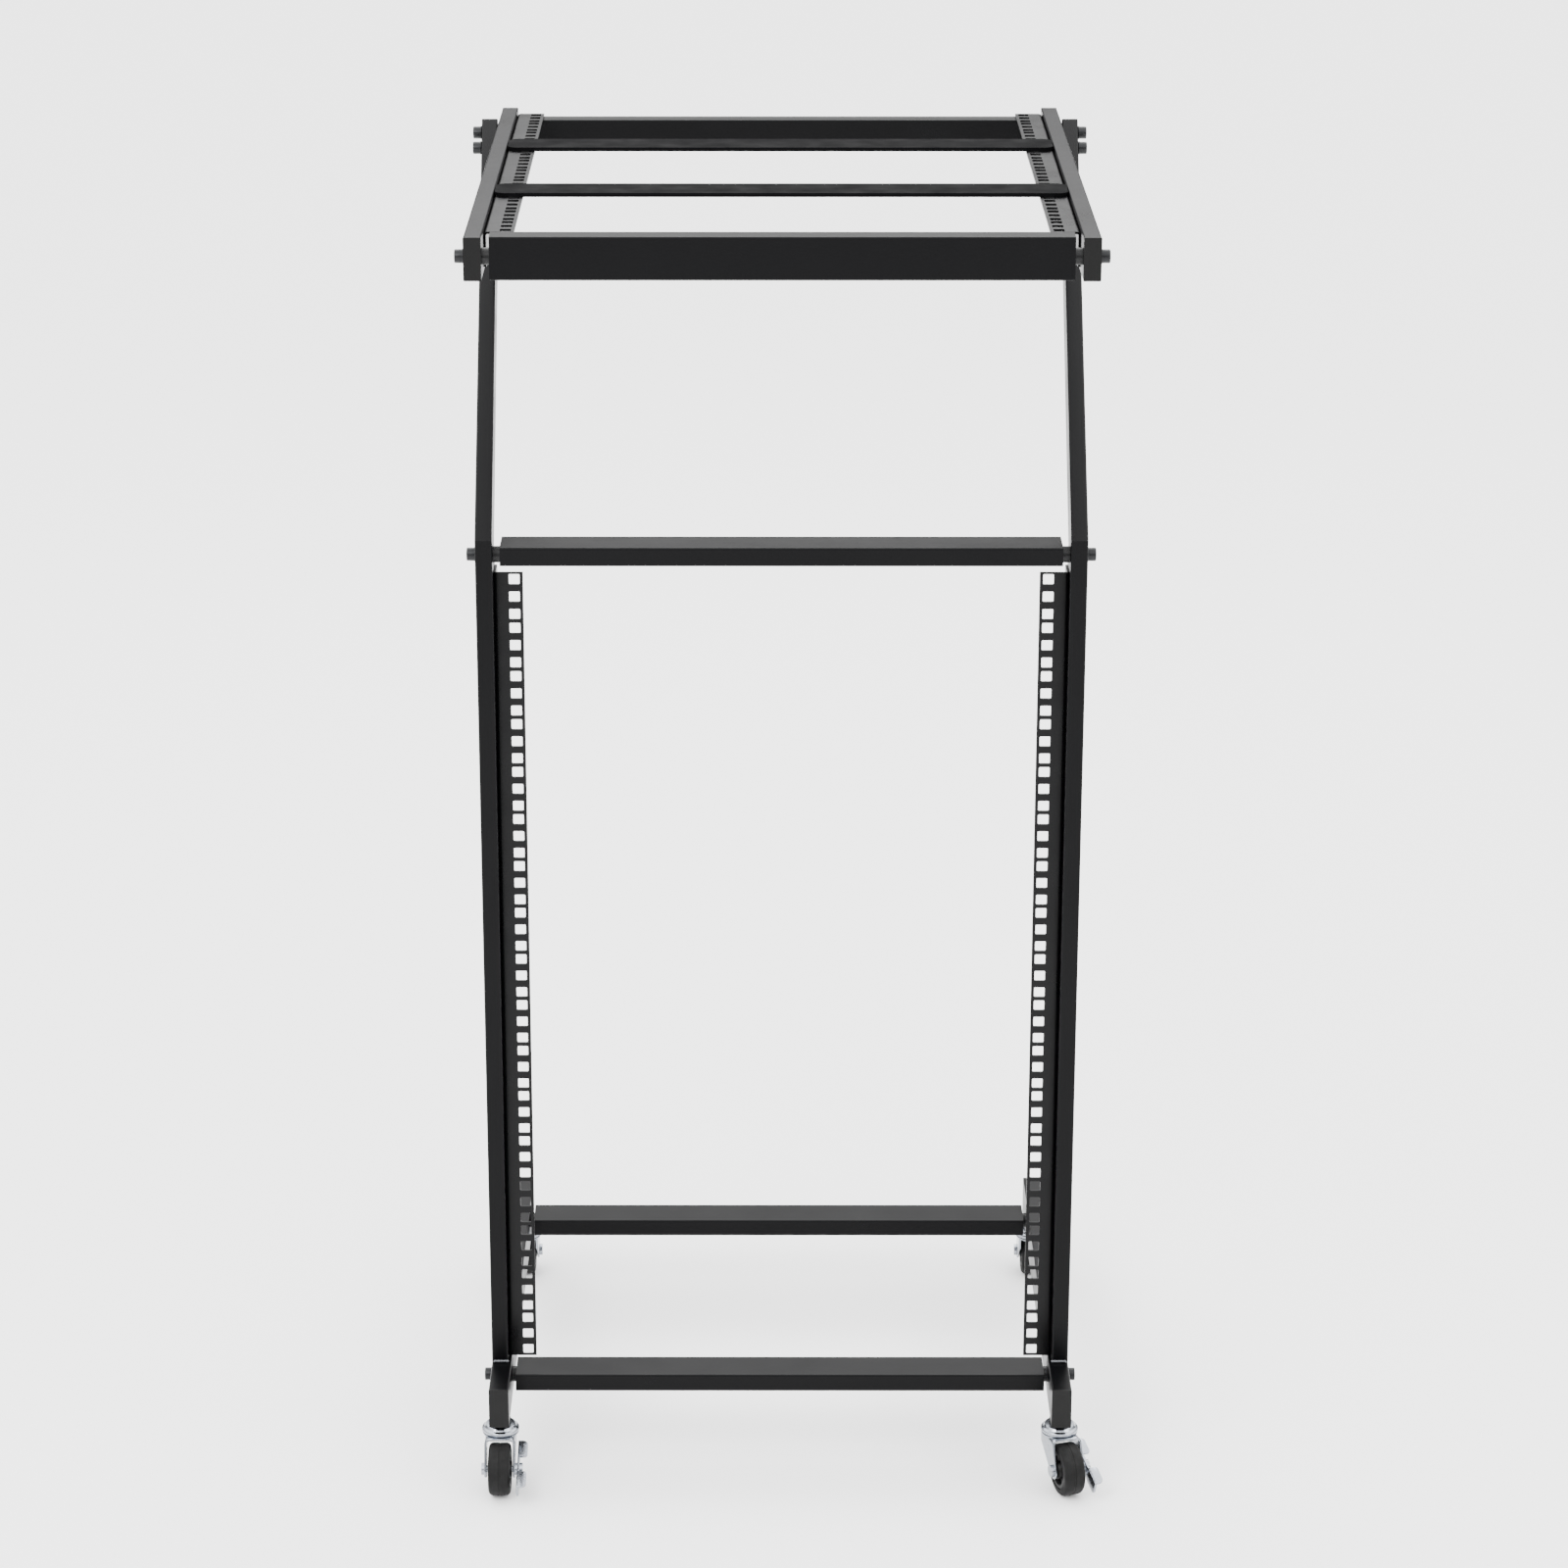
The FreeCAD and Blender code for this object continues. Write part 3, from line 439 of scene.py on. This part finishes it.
def run_tree(obj, tree, values):
    """Put a tree on an object, with its inputs set by identifier."""
    tool = obj.modifiers.new(tree.name, "NODES")
    tool.node_group = tree
    for item in tree.interface.items_tree:
        if item.in_out == "INPUT" and item.name in values:
            tool[item.identifier] = values[item.name]


def caster_place(word):
    """Placement of a caster: its stem's foot on the floor, turned as it stands at rest."""
    low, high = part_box("caster_tyre_" + word)
    wheel = (low + high) / 2
    turn = math.radians(CASTERS[word])
    x = -stem_across() if "left" in word else stem_across()
    return Matrix.Translation((x, wheel.y + wheel_trail() * math.cos(turn), 0)) @ Matrix.Rotation(
        turn, 4, "Z")


def stem_across():
    """Distance from the middle of the stand to a stem."""
    low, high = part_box("caster_hub_rear_left")
    return abs(low.x + high.x) / 2


def wheel_trail():
    """Distance from a stem to its axle, from a rear caster's race cap and tyre."""
    race_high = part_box("caster_race_caps")[1]
    tyre_low, tyre_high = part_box("caster_tyre_rear_left")
    race_radius = race_high.x - stem_across()
    return (tyre_low.y + tyre_high.y) / 2 - (race_high.y - race_radius)


def wheel_radius():
    low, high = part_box("caster_tyre_rear_left")
    return (high.z - low.z) / 2


def axle_place(word):
    """Placement on the axle of a caster, with X along the axle."""
    return caster_place(word) @ Matrix.Translation((0, -wheel_trail(), wheel_radius()))


class StandOperator:
    bl_options = {"REGISTER", "UNDO"}


class STAND_OT_rails(StandOperator, bpy.types.Operator):
    """Fold the four rack rails and punch their square holes"""
    bl_idname = "stand.rails"
    bl_label = "Rack rails"

    def punched(self, dot, length, depth, edge):
        """One side of the flange, filled round its three holes."""
        s = sizes()
        half = s.hole_size / 2
        corners = [dot(self.inner, depth, 0), dot(edge, depth, 0), dot(edge, depth, length),
                   dot(self.inner, depth, length)]
        rings = []
        for number in range(3):
            middle = s.hole_margin + number * s.hole_step
            square = [(s.hole_column - half, middle - half), (s.hole_column + half, middle - half),
                      (s.hole_column + half, middle + half), (s.hole_column - half, middle + half)]
            hole = rounded(square, s.hole_round, 2)
            rings.append([dot(point.x, depth, point.y) for point in hole])
        return corners, rings

    def fold(self, leg):
        """Outline of the bend and the leg, out along the outer side and back along the inner."""
        s = sizes()
        bend, thick, outer = s.rail_bend, s.rail_thick, self.outer
        quarter = [math.pi / 2 * step / CORNER_STEPS for step in range(CORNER_STEPS + 1)]
        outside = [(outer - bend + bend * math.sin(a), bend - bend * math.cos(a)) for a in quarter]
        small = bend - thick
        inside = [(outer - bend + small * math.sin(a), bend - small * math.cos(a))
                  for a in reversed(quarter)]
        return outside + [(outer, leg), (outer - thick, leg)] + inside

    def unit(self, name, place, leg):
        """One rack unit of rail as an open shell, in (across, depth, along)."""
        s = sizes()
        length = s.rack_unit
        shell = bmesh.new()

        def dot(across, depth, along):
            return shell.verts.new(place @ Vector((across, depth, along)))

        faces = []
        for depth in (0, s.rail_thick):
            corners, rings = self.punched(dot, length, depth, self.outer - s.rail_bend)
            edges = []
            for loop in [corners] + rings:
                for number, vert in enumerate(loop):
                    edges.append(shell.edges.new((vert, loop[(number + 1) % len(loop)])))
            bmesh.ops.triangle_fill(shell, edges=edges, use_beauty=True)
            faces.append((corners, rings))
        (front, front_rings), (back, back_rings) = faces
        for near, far in zip(front_rings, back_rings):
            for number in range(len(near)):
                other = (number + 1) % len(near)
                shell.faces.new((near[number], near[other], far[other], far[number]))
        shell.faces.new((front[0], front[3], back[3], back[0]))
        fold = self.fold(leg)
        low = [dot(across, depth, 0) for across, depth in fold]
        high = [dot(across, depth, length) for across, depth in fold]
        for number in range(len(fold) - 1):
            shell.faces.new((low[number], low[number + 1], high[number + 1], high[number]))
        bmesh.ops.remove_doubles(shell, verts=shell.verts, dist=WELD_SEAM)
        return new_object(name, shell, coated_rail_sheet())

    def repeat_tree(self):
        tree, start = tree_with("rail_repeat", [
            ("Unit", "NodeSocketObject"), ("Units", "NodeSocketInt"), ("Step", "NodeSocketVector")])
        unit = add(tree, "GeometryNodeObjectInfo", {"Object": start.outputs["Unit"]})
        line = add(tree, "GeometryNodeMeshLine", {
            "Count": start.outputs["Units"], "Offset": start.outputs["Step"]})
        copies = add(tree, "GeometryNodeInstanceOnPoints", {
            "Points": line.outputs[0], "Instance": unit.outputs["Geometry"]})
        close_tree(tree, copies.outputs[0], coated_rail_sheet())
        return tree

    def execute(self, context):
        s = sizes()
        tree = self.repeat_tree()
        for word, side in SIDES.items():
            for kind in ("front", "top"):
                node = "%s_rail_%s" % (kind, word)
                low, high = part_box(node)
                self.inner = min(abs(low.x), abs(high.x))
                self.outer = max(abs(low.x), abs(high.x))
                if kind == "front":
                    place = Matrix(((side, 0, 0, 0), (0, 1, 0, low.y), (0, 0, 1, low.z), (0, 0, 0, 1)))
                    leg, run, step = high.y - low.y, high.z - low.z, (0.0, 0.0, s.rack_unit)
                else:
                    place = Matrix(((side, 0, 0, 0), (0, 0, 1, low.y), (0, -1, 0, high.z), (0, 0, 0, 1)))
                    leg, run, step = high.z - low.z, high.y - low.y, (0.0, s.rack_unit, 0.0)
                unit = self.unit(node + "_unit", place, leg)
                rail = new_object(node + "_dressed", bmesh.new(), coated_rail_sheet())
                run_tree(rail, tree, {"Unit": unit, "Units": round(run / s.rack_unit), "Step": step})
                finish_piece(rail, "frame", [node])
                bpy.data.objects.remove(unit)
        return {"FINISHED"}


class STAND_OT_bolts(StandOperator, bpy.types.Operator):
    """Set the socket bolts with their washers in the side frames"""
    bl_idname = "stand.bolts"
    bl_label = "Socket bolts"

    def bolt(self):
        """A bolt along X with the seat of its washer at zero."""
        s = sizes()
        shell = bmesh.new()
        top = s.washer + s.bolt_tall
        neck = s.bolt_head * 0.94
        profile = rounded([(0.05 * MM, s.bolt_key), (0.05 * MM, s.bolt_head), (s.washer, s.bolt_head),
                           (s.washer, neck), (top, neck), (top, s.bolt_key * 1.2),
                           (top - s.key_deep, s.bolt_key)],
                          [0, 0.3 * MM, 0.3 * MM, 0, 0.9 * MM, 0.2 * MM, 0], 3)
        turned_about(shell, profile, Matrix.Identity(4), 36)
        round_bar = [(math.cos(math.radians(a)), math.sin(math.radians(a))) for a in range(0, 360, 30)]
        for radius, start, thick in (
                (s.bolt_key * 1.1, top - s.key_deep - s.key_floor / 2, s.key_floor),
                (s.bolt_key, -s.shank, s.shank + s.edge)):
            outline = [(radius * across, radius * up) for across, up in round_bar]
            slab(shell, outline, thick, Matrix.Translation((start, 0, 0)))
        return new_object("bolt_pattern_piece", shell, black_oxide_bolt())

    def spots(self):
        """Seat and turn of every bolt, from the CAD bolts' boxes."""
        s = sizes()
        found = []
        reach = s.washer + s.bolt_tall
        for node in ("top_front_bolts", "top_rear_bolts", "mid_bolts", "lower_bolts", "rear_bolts"):
            low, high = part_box(node)
            for side in SIDES.values():
                found.append((side * (high.x - reach), (low.y + high.y) / 2, (low.z + high.z) / 2, side))
        low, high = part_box("top_joint_bolts")
        run = (high.y - low.y - 2 * s.bolt_head) / math.cos(POST_LEAN)
        rise = run * math.tan(POST_SPLAY)
        for side in SIDES.values():
            found.append((side * (high.x - reach), high.y - s.bolt_head, high.z - s.bolt_head, side))
            found.append((side * (high.x - reach - rise), low.y + s.bolt_head,
                          low.z + s.bolt_head, side))
        return found

    def execute(self, context):
        piece = self.bolt()
        shell = bmesh.new()
        turn = shell.verts.layers.float.new("turn")
        for x, y, z, side in self.spots():
            vert = shell.verts.new((x, y, z))
            vert[turn] = 0.0 if side > 0 else math.pi
        bolts = new_object("side_bolts", shell, black_oxide_bolt())
        tree, start = tree_with("bolt_places", [("Bolt", "NodeSocketObject")])
        made = add(tree, "GeometryNodeObjectInfo", {"Object": start.outputs["Bolt"]})
        angle = add(tree, "GeometryNodeInputNamedAttribute", {"Name": "turn"}, data_type="FLOAT")
        facing = add(tree, "ShaderNodeCombineXYZ", {"Z": angle.outputs["Attribute"]})
        copies = add(tree, "GeometryNodeInstanceOnPoints", {
            "Points": start.outputs["Geometry"], "Instance": made.outputs["Geometry"],
            "Rotation": facing.outputs[0]})
        close_tree(tree, copies.outputs[0], black_oxide_bolt())
        run_tree(bolts, tree, {"Bolt": piece})
        finish_piece(bolts, "frame", ["top_front_bolts", "top_rear_bolts", "mid_bolts", "lower_bolts",
                                      "rear_bolts", "top_joint_bolts"])
        bpy.data.objects.remove(piece)
        return {"FINISHED"}


class STAND_OT_weld_beads(StandOperator, bpy.types.Operator):
    """Lay the rippled weld beads at the feet of the posts"""
    bl_idname = "stand.weld_beads"
    bl_label = "Weld beads"

    def execute(self, context):
        low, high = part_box("weld_beads")
        rise = high.z - low.z
        post_low, post_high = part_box("lower_post_left")
        run = post_high.x - post_low.x - rise * BEAD_ENDS
        inset_x, inset_y = (rise * share for share in BEAD_INSET)
        shell = bmesh.new()
        for side in SIDES.values():
            for y in (low.y + inset_y, high.y - inset_y):
                for number in range(WELD_DROPS):
                    x = high.x - inset_x - run * number / (WELD_DROPS - 1)
                    shell.verts.new((side * x, y, low.z + rise * BEAD_LIFT))
        beads = new_object("rippled_beads", shell, weld_bead_steel())
        tree, start = tree_with("weld_ripples", [("Bead radius", "NodeSocketFloat")])
        drop = add(tree, "GeometryNodeMeshIcoSphere", {
            "Radius": start.outputs["Bead radius"], "Subdivisions": 3})
        wobble = add(tree, "FunctionNodeRandomValue", {"Seed": 4}, data_type="FLOAT")
        wobble.inputs[2].default_value = 0.88
        wobble.inputs[3].default_value = 1.06
        copies = add(tree, "GeometryNodeInstanceOnPoints", {
            "Points": start.outputs["Geometry"], "Instance": drop.outputs[0],
            "Scale": wobble.outputs[1]})
        close_tree(tree, copies.outputs[0], weld_bead_steel())
        run_tree(beads, tree, {"Bead radius": rise * BEAD_RADIUS})
        finish_piece(beads, "frame", ["weld_beads"])
        return {"FINISHED"}


class STAND_OT_wheels(StandOperator, bpy.types.Operator):
    """Turn the tyres and hubs of the casters"""
    bl_idname = "stand.wheels"
    bl_label = "Tyres and hubs"

    def tyre(self, word):
        s = sizes()
        radius = wheel_radius()
        low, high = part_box("caster_tyre_rear_left")
        half = (high.x - low.x) / 2
        inner = radius - s.tyre_thick
        line = s.tread_line
        profile = rounded(
            [(-half, inner), (half, inner), (half, radius), (line * 2, radius), (line, radius - line),
             (-line, radius - line), (-line * 2, radius), (-half, radius)],
            [s.edge, s.edge, s.tread_round, 0, 0, 0, 0, s.tread_round], 6)
        shell = bmesh.new()
        turned_about(shell, profile, axle_place(word), 72)
        finish_piece(new_object("tyre_" + word, shell, tread_rubber()), "wheel_" + word,
                     ["caster_tyre_" + word])

    def ribs(self, shell, place, wall):
        """Ribs between the boss and the rim, on both sides of the web."""
        s = sizes()
        half, inside, outside = s.rib_thick / 2, s.hub_boss - 0.5 * MM, wall + 0.3 * MM
        outline = [(inside, -half), (outside, -half), (outside, half), (inside, half)]
        sunk = 0.2 * MM
        for side in (-1, 1):
            start = s.hub_web - sunk if side > 0 else sunk - s.hub_web - s.rib_deep
            for number in range(HUB_RIBS):
                spoke = place @ Matrix.Rotation(math.tau * number / HUB_RIBS, 4, "X")
                slab(shell, outline, s.rib_deep, spoke @ Matrix.Translation((start, 0, 0)))

    def hub(self, word):
        s = sizes()
        place = axle_place(word)
        low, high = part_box("caster_hub_rear_left")
        half = (high.x - low.x) / 2
        rim = (high.z - low.z) / 2 - 0.05 * MM
        wall, ledge = rim - s.hub_wall, half - s.hub_ledge
        right = [(half, s.hub_bore), (half, s.hub_boss), (s.hub_web, s.hub_boss + 1.2 * MM),
                 (s.hub_web, wall - 1 * MM), (ledge, wall), (ledge, rim)]
        rounds = [0.4 * MM, 0.4 * MM, 1 * MM, 1 * MM, 0.6 * MM, 0.3 * MM]
        corners = [(-along, out) for along, out in reversed(right)] + right
        profile = rounded(corners, rounds + list(reversed(rounds)), 2)
        shell = bmesh.new()
        turned_about(shell, profile, place, 60)
        self.ribs(shell, place, wall)
        finish_piece(new_object("hub_" + word, shell, moulded_black_plastic()), "wheel_" + word,
                     ["caster_hub_" + word])

    def execute(self, context):
        for word in CASTERS:
            self.tyre(word)
            self.hub(word)
        return {"FINISHED"}


class STAND_OT_forks(StandOperator, bpy.types.Operator):
    """Press the caster forks and turn their race caps"""
    bl_idname = "stand.forks"
    bl_label = "Caster forks"

    def edges(self, z):
        """Front and rear edge of a cheek at one height."""
        s = sizes()
        trail, radius, crown, foot = self.trail, self.radius, self.crown, s.fork_foot
        slant = foot * math.cos(math.radians(45))
        round_half = math.sqrt(max(foot * foot - (z - radius) ** 2, 0.0))
        if z < radius:
            near = -trail - round_half
        else:
            share = (z - radius) / (crown - radius)
            near = -(trail + foot) + share * (trail + foot - s.fork_front)
        leave = radius - slant
        if z < leave:
            far = -trail + round_half
        else:
            share = min((z - leave) / (s.fork_knee - leave), 1.0)
            far = slant - trail + share * (s.fork_back - slant + trail)
        return near, far

    def path(self):
        """Middle line of the sheet, up one cheek, over the crown and down the other."""
        s = sizes()
        low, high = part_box("caster_axle_rear_left")
        middle = (high.x - low.x) / 2 - s.axle_head - s.sheet / 2
        top, bend, bottom = self.crown, s.fork_bend, self.radius - s.fork_foot
        path = [(-middle, bottom + (top - bend - bottom) * step / CHEEK_STEPS)
                for step in range(CHEEK_STEPS + 1)]
        for step in range(1, BEND_STEPS + 1):
            angle = math.pi / 2 * step / BEND_STEPS
            path.append((-middle + bend * (1 - math.cos(angle)),
                         top - bend + (bend - s.sheet / 2) * math.sin(angle)))
        path.append((0.0, top - s.sheet / 2))
        return path + [(-x, z) for x, z in reversed(path[:-1])]

    def fork(self, word, path):
        """One sheet folded into a crown and two cheeks."""
        s = sizes()
        place = caster_place(word)
        shell = bmesh.new()
        rows = []
        for x, z in path:
            near, far = self.edges(min(z, self.crown))
            row = [place @ Vector((x, near + (far - near) * step / CHEEK_ACROSS, z))
                   for step in range(CHEEK_ACROSS + 1)]
            rows.append([shell.verts.new(point) for point in row])
        for row, other in zip(rows, rows[1:]):
            for number in range(CHEEK_ACROSS):
                shell.faces.new((row[number], row[number + 1], other[number + 1], other[number]))
        bmesh.ops.remove_doubles(shell, verts=shell.verts, dist=0.01 * MM)
        bmesh.ops.recalc_face_normals(shell, faces=shell.faces)
        fork = new_object("fork_" + word, shell, bright_zinc_plate())
        wall = fork.modifiers.new("sheet", "SOLIDIFY")
        wall.thickness = s.sheet
        wall.offset = 0
        bevel(fork, 0.4 * MM)
        finish_piece(fork, "swivel_" + word, ["caster_fork_" + word])

    def upright(self, word):
        """Placement at a stem whose X points up."""
        return caster_place(word) @ Matrix.Rotation(math.radians(-90), 4, "Y")

    def dish(self, word):
        """Dish for the balls, pressed into the crown."""
        s = sizes()
        low, high = self.crown - s.dish_deep, self.crown - 0.1 * MM
        profile = rounded([(low, s.stem_hole), (low, s.dish_radius - 1 * MM),
                           (high, s.dish_radius), (high, s.stem_hole)],
                          [0, 0.8 * MM, s.edge, 0], 3)
        shell = bmesh.new()
        turned_about(shell, profile, self.upright(word), 64)
        seat = new_object("fork_race_" + word, shell, bright_zinc_plate())
        finish_piece(seat, "swivel_" + word, ["caster_fork_" + word])

    def race_caps(self):
        """Stepped caps that hold the balls, fixed to the stems."""
        s = sizes()
        low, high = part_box("caster_race_caps")
        step = low.z + s.race_wall
        profile = rounded([(low.z, s.stem_hole), (low.z, s.race_radius), (step, s.race_radius),
                           (step + 1.4 * MM, s.race_radius - 2.3 * MM),
                           (high.z, s.race_radius - 3.7 * MM), (high.z, s.stem_hole)],
                          [0, 1.2 * MM, 1.4 * MM, 1 * MM, 0.6 * MM, 0], 4)
        shell = bmesh.new()
        for word in CASTERS:
            turned_about(shell, profile, self.upright(word), 64)
        finish_piece(new_object("race_caps", shell, bright_zinc_plate()), "frame",
                     ["caster_race_caps"])

    def execute(self, context):
        self.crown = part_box("caster_fork_rear_left")[1].z
        self.radius, self.trail = wheel_radius(), wheel_trail()
        path = self.path()
        for word in CASTERS:
            self.fork(word, path)
            self.dish(word)
        self.race_caps()
        return {"FINISHED"}


class STAND_OT_pedals(StandOperator, bpy.types.Operator):
    """Press the two-lobed brake pedals"""
    bl_idname = "stand.pedals"
    bl_label = "Brake pedals"

    def plate(self):
        """Outline of the side plate: two lobes with a waist on the lower edge."""
        s = sizes()
        half, low, waist = s.pedal_half, -s.pedal_width / 2, -s.pedal_waist / 2 - 1.5 * MM
        lobe, neck = half * 0.42, half * 0.2
        corners = [(-half, low), (-lobe, low), (-neck, waist), (neck, waist), (lobe, low),
                   (half, low), (half, -low), (-half, -low)]
        radii = [4 * MM, 2 * MM, 2 * MM, 2 * MM, 2 * MM, 4 * MM, 2 * MM, 2 * MM]
        return rounded(corners, radii, 5)

    def tab(self, end):
        """Outline of the tab at one end that the foot presses."""
        s = sizes()
        near, far = end * (s.pedal_half - s.pedal_tread), end * (s.pedal_half - 0.6 * MM)
        out = s.pedal_out + s.pedal_flare
        corners = [(s.pedal_out, near), (out, near), (out, far), (s.pedal_out, far)]
        return rounded(corners, [0.2 * MM, 3 * MM, 5 * MM, 0.2 * MM], 6)

    def execute(self, context):
        s = sizes()
        flat = Matrix(((0, 1, 0, 0), (0, 0, 1, 0), (1, 0, 0, 0), (0, 0, 0, 1)))
        for word in ("front_left", "front_right"):
            place = axle_place(word) @ Matrix.Rotation(PEDAL_TILT, 4, "X")
            shell = bmesh.new()
            slab(shell, self.plate(), s.sheet, place @ Matrix.Translation((s.pedal_out, 0, 0)))
            lift = Matrix.Translation((0, 0, s.pedal_width / 2 - s.sheet))
            for end in (-1, 1):
                slab(shell, self.tab(end), s.sheet, place @ lift @ flat)
            pedal = new_object("pedal_" + word, shell, bright_zinc_plate())
            bevel(pedal, s.edge, 3)
            finish_piece(pedal, "pedal_" + word, ["brake_pedal_" + word])
        return {"FINISHED"}


class STAND_OT_finishes(StandOperator, bpy.types.Operator):
    """Coat the tubes, plugs, stems and other pieces that keep their CAD shape"""
    bl_idname = "stand.finishes"
    bl_label = "Finishes"

    def execute(self, context):
        makers = [
            (("base_tube_plugs", "top_tube_plugs", "upper_post_caps"), moulded_black_plastic),
            (("top_joint_nuts", "caster_nuts"), black_oxide_bolt),
            (("caster_stems", "caster_axle"), bright_zinc_plate),
            (("crossbar_spacers",), dark_nylon),
            (("support_bar",), matte_coated_bar),
            (("crossbar_inserts",), machined_steel),
        ]
        for name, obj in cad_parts.items():
            maker = powder_coated_steel
            for starts, special in makers:
                if name.startswith(starts):
                    maker = special
            obj.data.materials.clear()
            obj.data.materials.append(maker())
        return {"FINISHED"}


class STAND_OT_stage(StandOperator, bpy.types.Operator):
    """Lay the pale floor and set the studio lights and the camera"""
    bl_idname = "stand.stage"
    bl_label = "Stage"

    def light(self, name, place, target, energy, wide, tall):
        lamp = bpy.data.lights.new(name, "AREA")
        lamp.shape = "RECTANGLE"
        lamp.size, lamp.size_y = wide, tall
        lamp.energy = energy
        obj = bpy.data.objects.new(name, lamp)
        obj.location = place
        obj.rotation_euler = (Vector(target) - Vector(place)).to_track_quat("-Z", "Y").to_euler()
        bpy.context.scene.collection.objects.link(obj)

    def floor(self):
        """Pale floor, a little below the wheels."""
        shell = bmesh.new()
        bmesh.ops.create_grid(shell, x_segments=1, y_segments=1, size=FLOOR_HALF)
        floor = new_object("studio_floor", shell, paper_floor())
        floor.location.z = -FLOOR_DROP

    def world(self):
        """White light from above that fades to a darker horizon."""
        world = bpy.data.worlds.new("studio_white")
        world.use_nodes = True
        tree = world.node_tree
        sky = tree.nodes["Background"]
        sky.inputs["Color"].default_value = (*linear("#ffffff"), 1)
        way = add(tree, "ShaderNodeTexCoord")
        parts = add(tree, "ShaderNodeSeparateXYZ", {"Vector": way.outputs["Generated"]})
        rise = add(tree, "ShaderNodeMapRange", {
            "Value": parts.outputs["Z"], "From Min": 0.05, "From Max": 0.75,
            "To Min": SKY_LOW, "To Max": SKY_HIGH}, interpolation_type="SMOOTHSTEP")
        tree.links.new(rise.outputs["Result"], sky.inputs["Strength"])
        bpy.context.scene.world = world

    def camera(self):
        """The photo's view, with a small shift in place of its deep crop."""
        lens = bpy.data.cameras.new("camera")
        lens.lens, lens.sensor_width = LENS, SENSOR
        lens.shift_x, lens.shift_y = LENS_SHIFT
        camera = bpy.data.objects.new("camera", lens)
        camera.location = CAMERA_PLACE
        camera.rotation_euler = CAMERA_TURN
        bpy.context.scene.collection.objects.link(camera)
        bpy.context.scene.camera = camera

    def execute(self, context):
        self.floor()
        self.world()
        for name, spot in LIGHTS.items():
            self.light(name, *spot)
        self.camera()
        return {"FINISHED"}


STEPS = (STAND_OT_rails, STAND_OT_bolts, STAND_OT_weld_beads, STAND_OT_wheels, STAND_OT_forks,
         STAND_OT_pedals, STAND_OT_finishes, STAND_OT_stage)


class STAND_PT_panel(bpy.types.Panel):
    """Steps that dress the rack stand"""
    bl_label = "Rack stand"
    bl_idname = "STAND_PT_panel"
    bl_space_type = "VIEW_3D"
    bl_region_type = "UI"
    bl_category = "Stand"

    def draw(self, context):
        for step in STEPS:
            self.layout.operator(step.bl_idname)
        for group in (context.scene.stand_sizes, context.scene.stand_finishes):
            for name in group.__annotations__:
                self.layout.prop(group, name)


CLASSES = (StandSizes, StandFinishes, *STEPS, STAND_PT_panel)


def register():
    for item in CLASSES:
        bpy.utils.register_class(item)
    bpy.types.Scene.stand_sizes = bpy.props.PointerProperty(type=StandSizes)
    bpy.types.Scene.stand_finishes = bpy.props.PointerProperty(type=StandFinishes)


def unregister():
    del bpy.types.Scene.stand_finishes
    del bpy.types.Scene.stand_sizes
    for item in reversed(CLASSES):
        bpy.utils.unregister_class(item)


def main():
    register()
    for step in STEPS:
        group, name = step.bl_idname.split(".")
        getattr(getattr(bpy.ops, group), name)()
    bpy.context.view_layer.update()


if __name__ == "__main__":
    main()
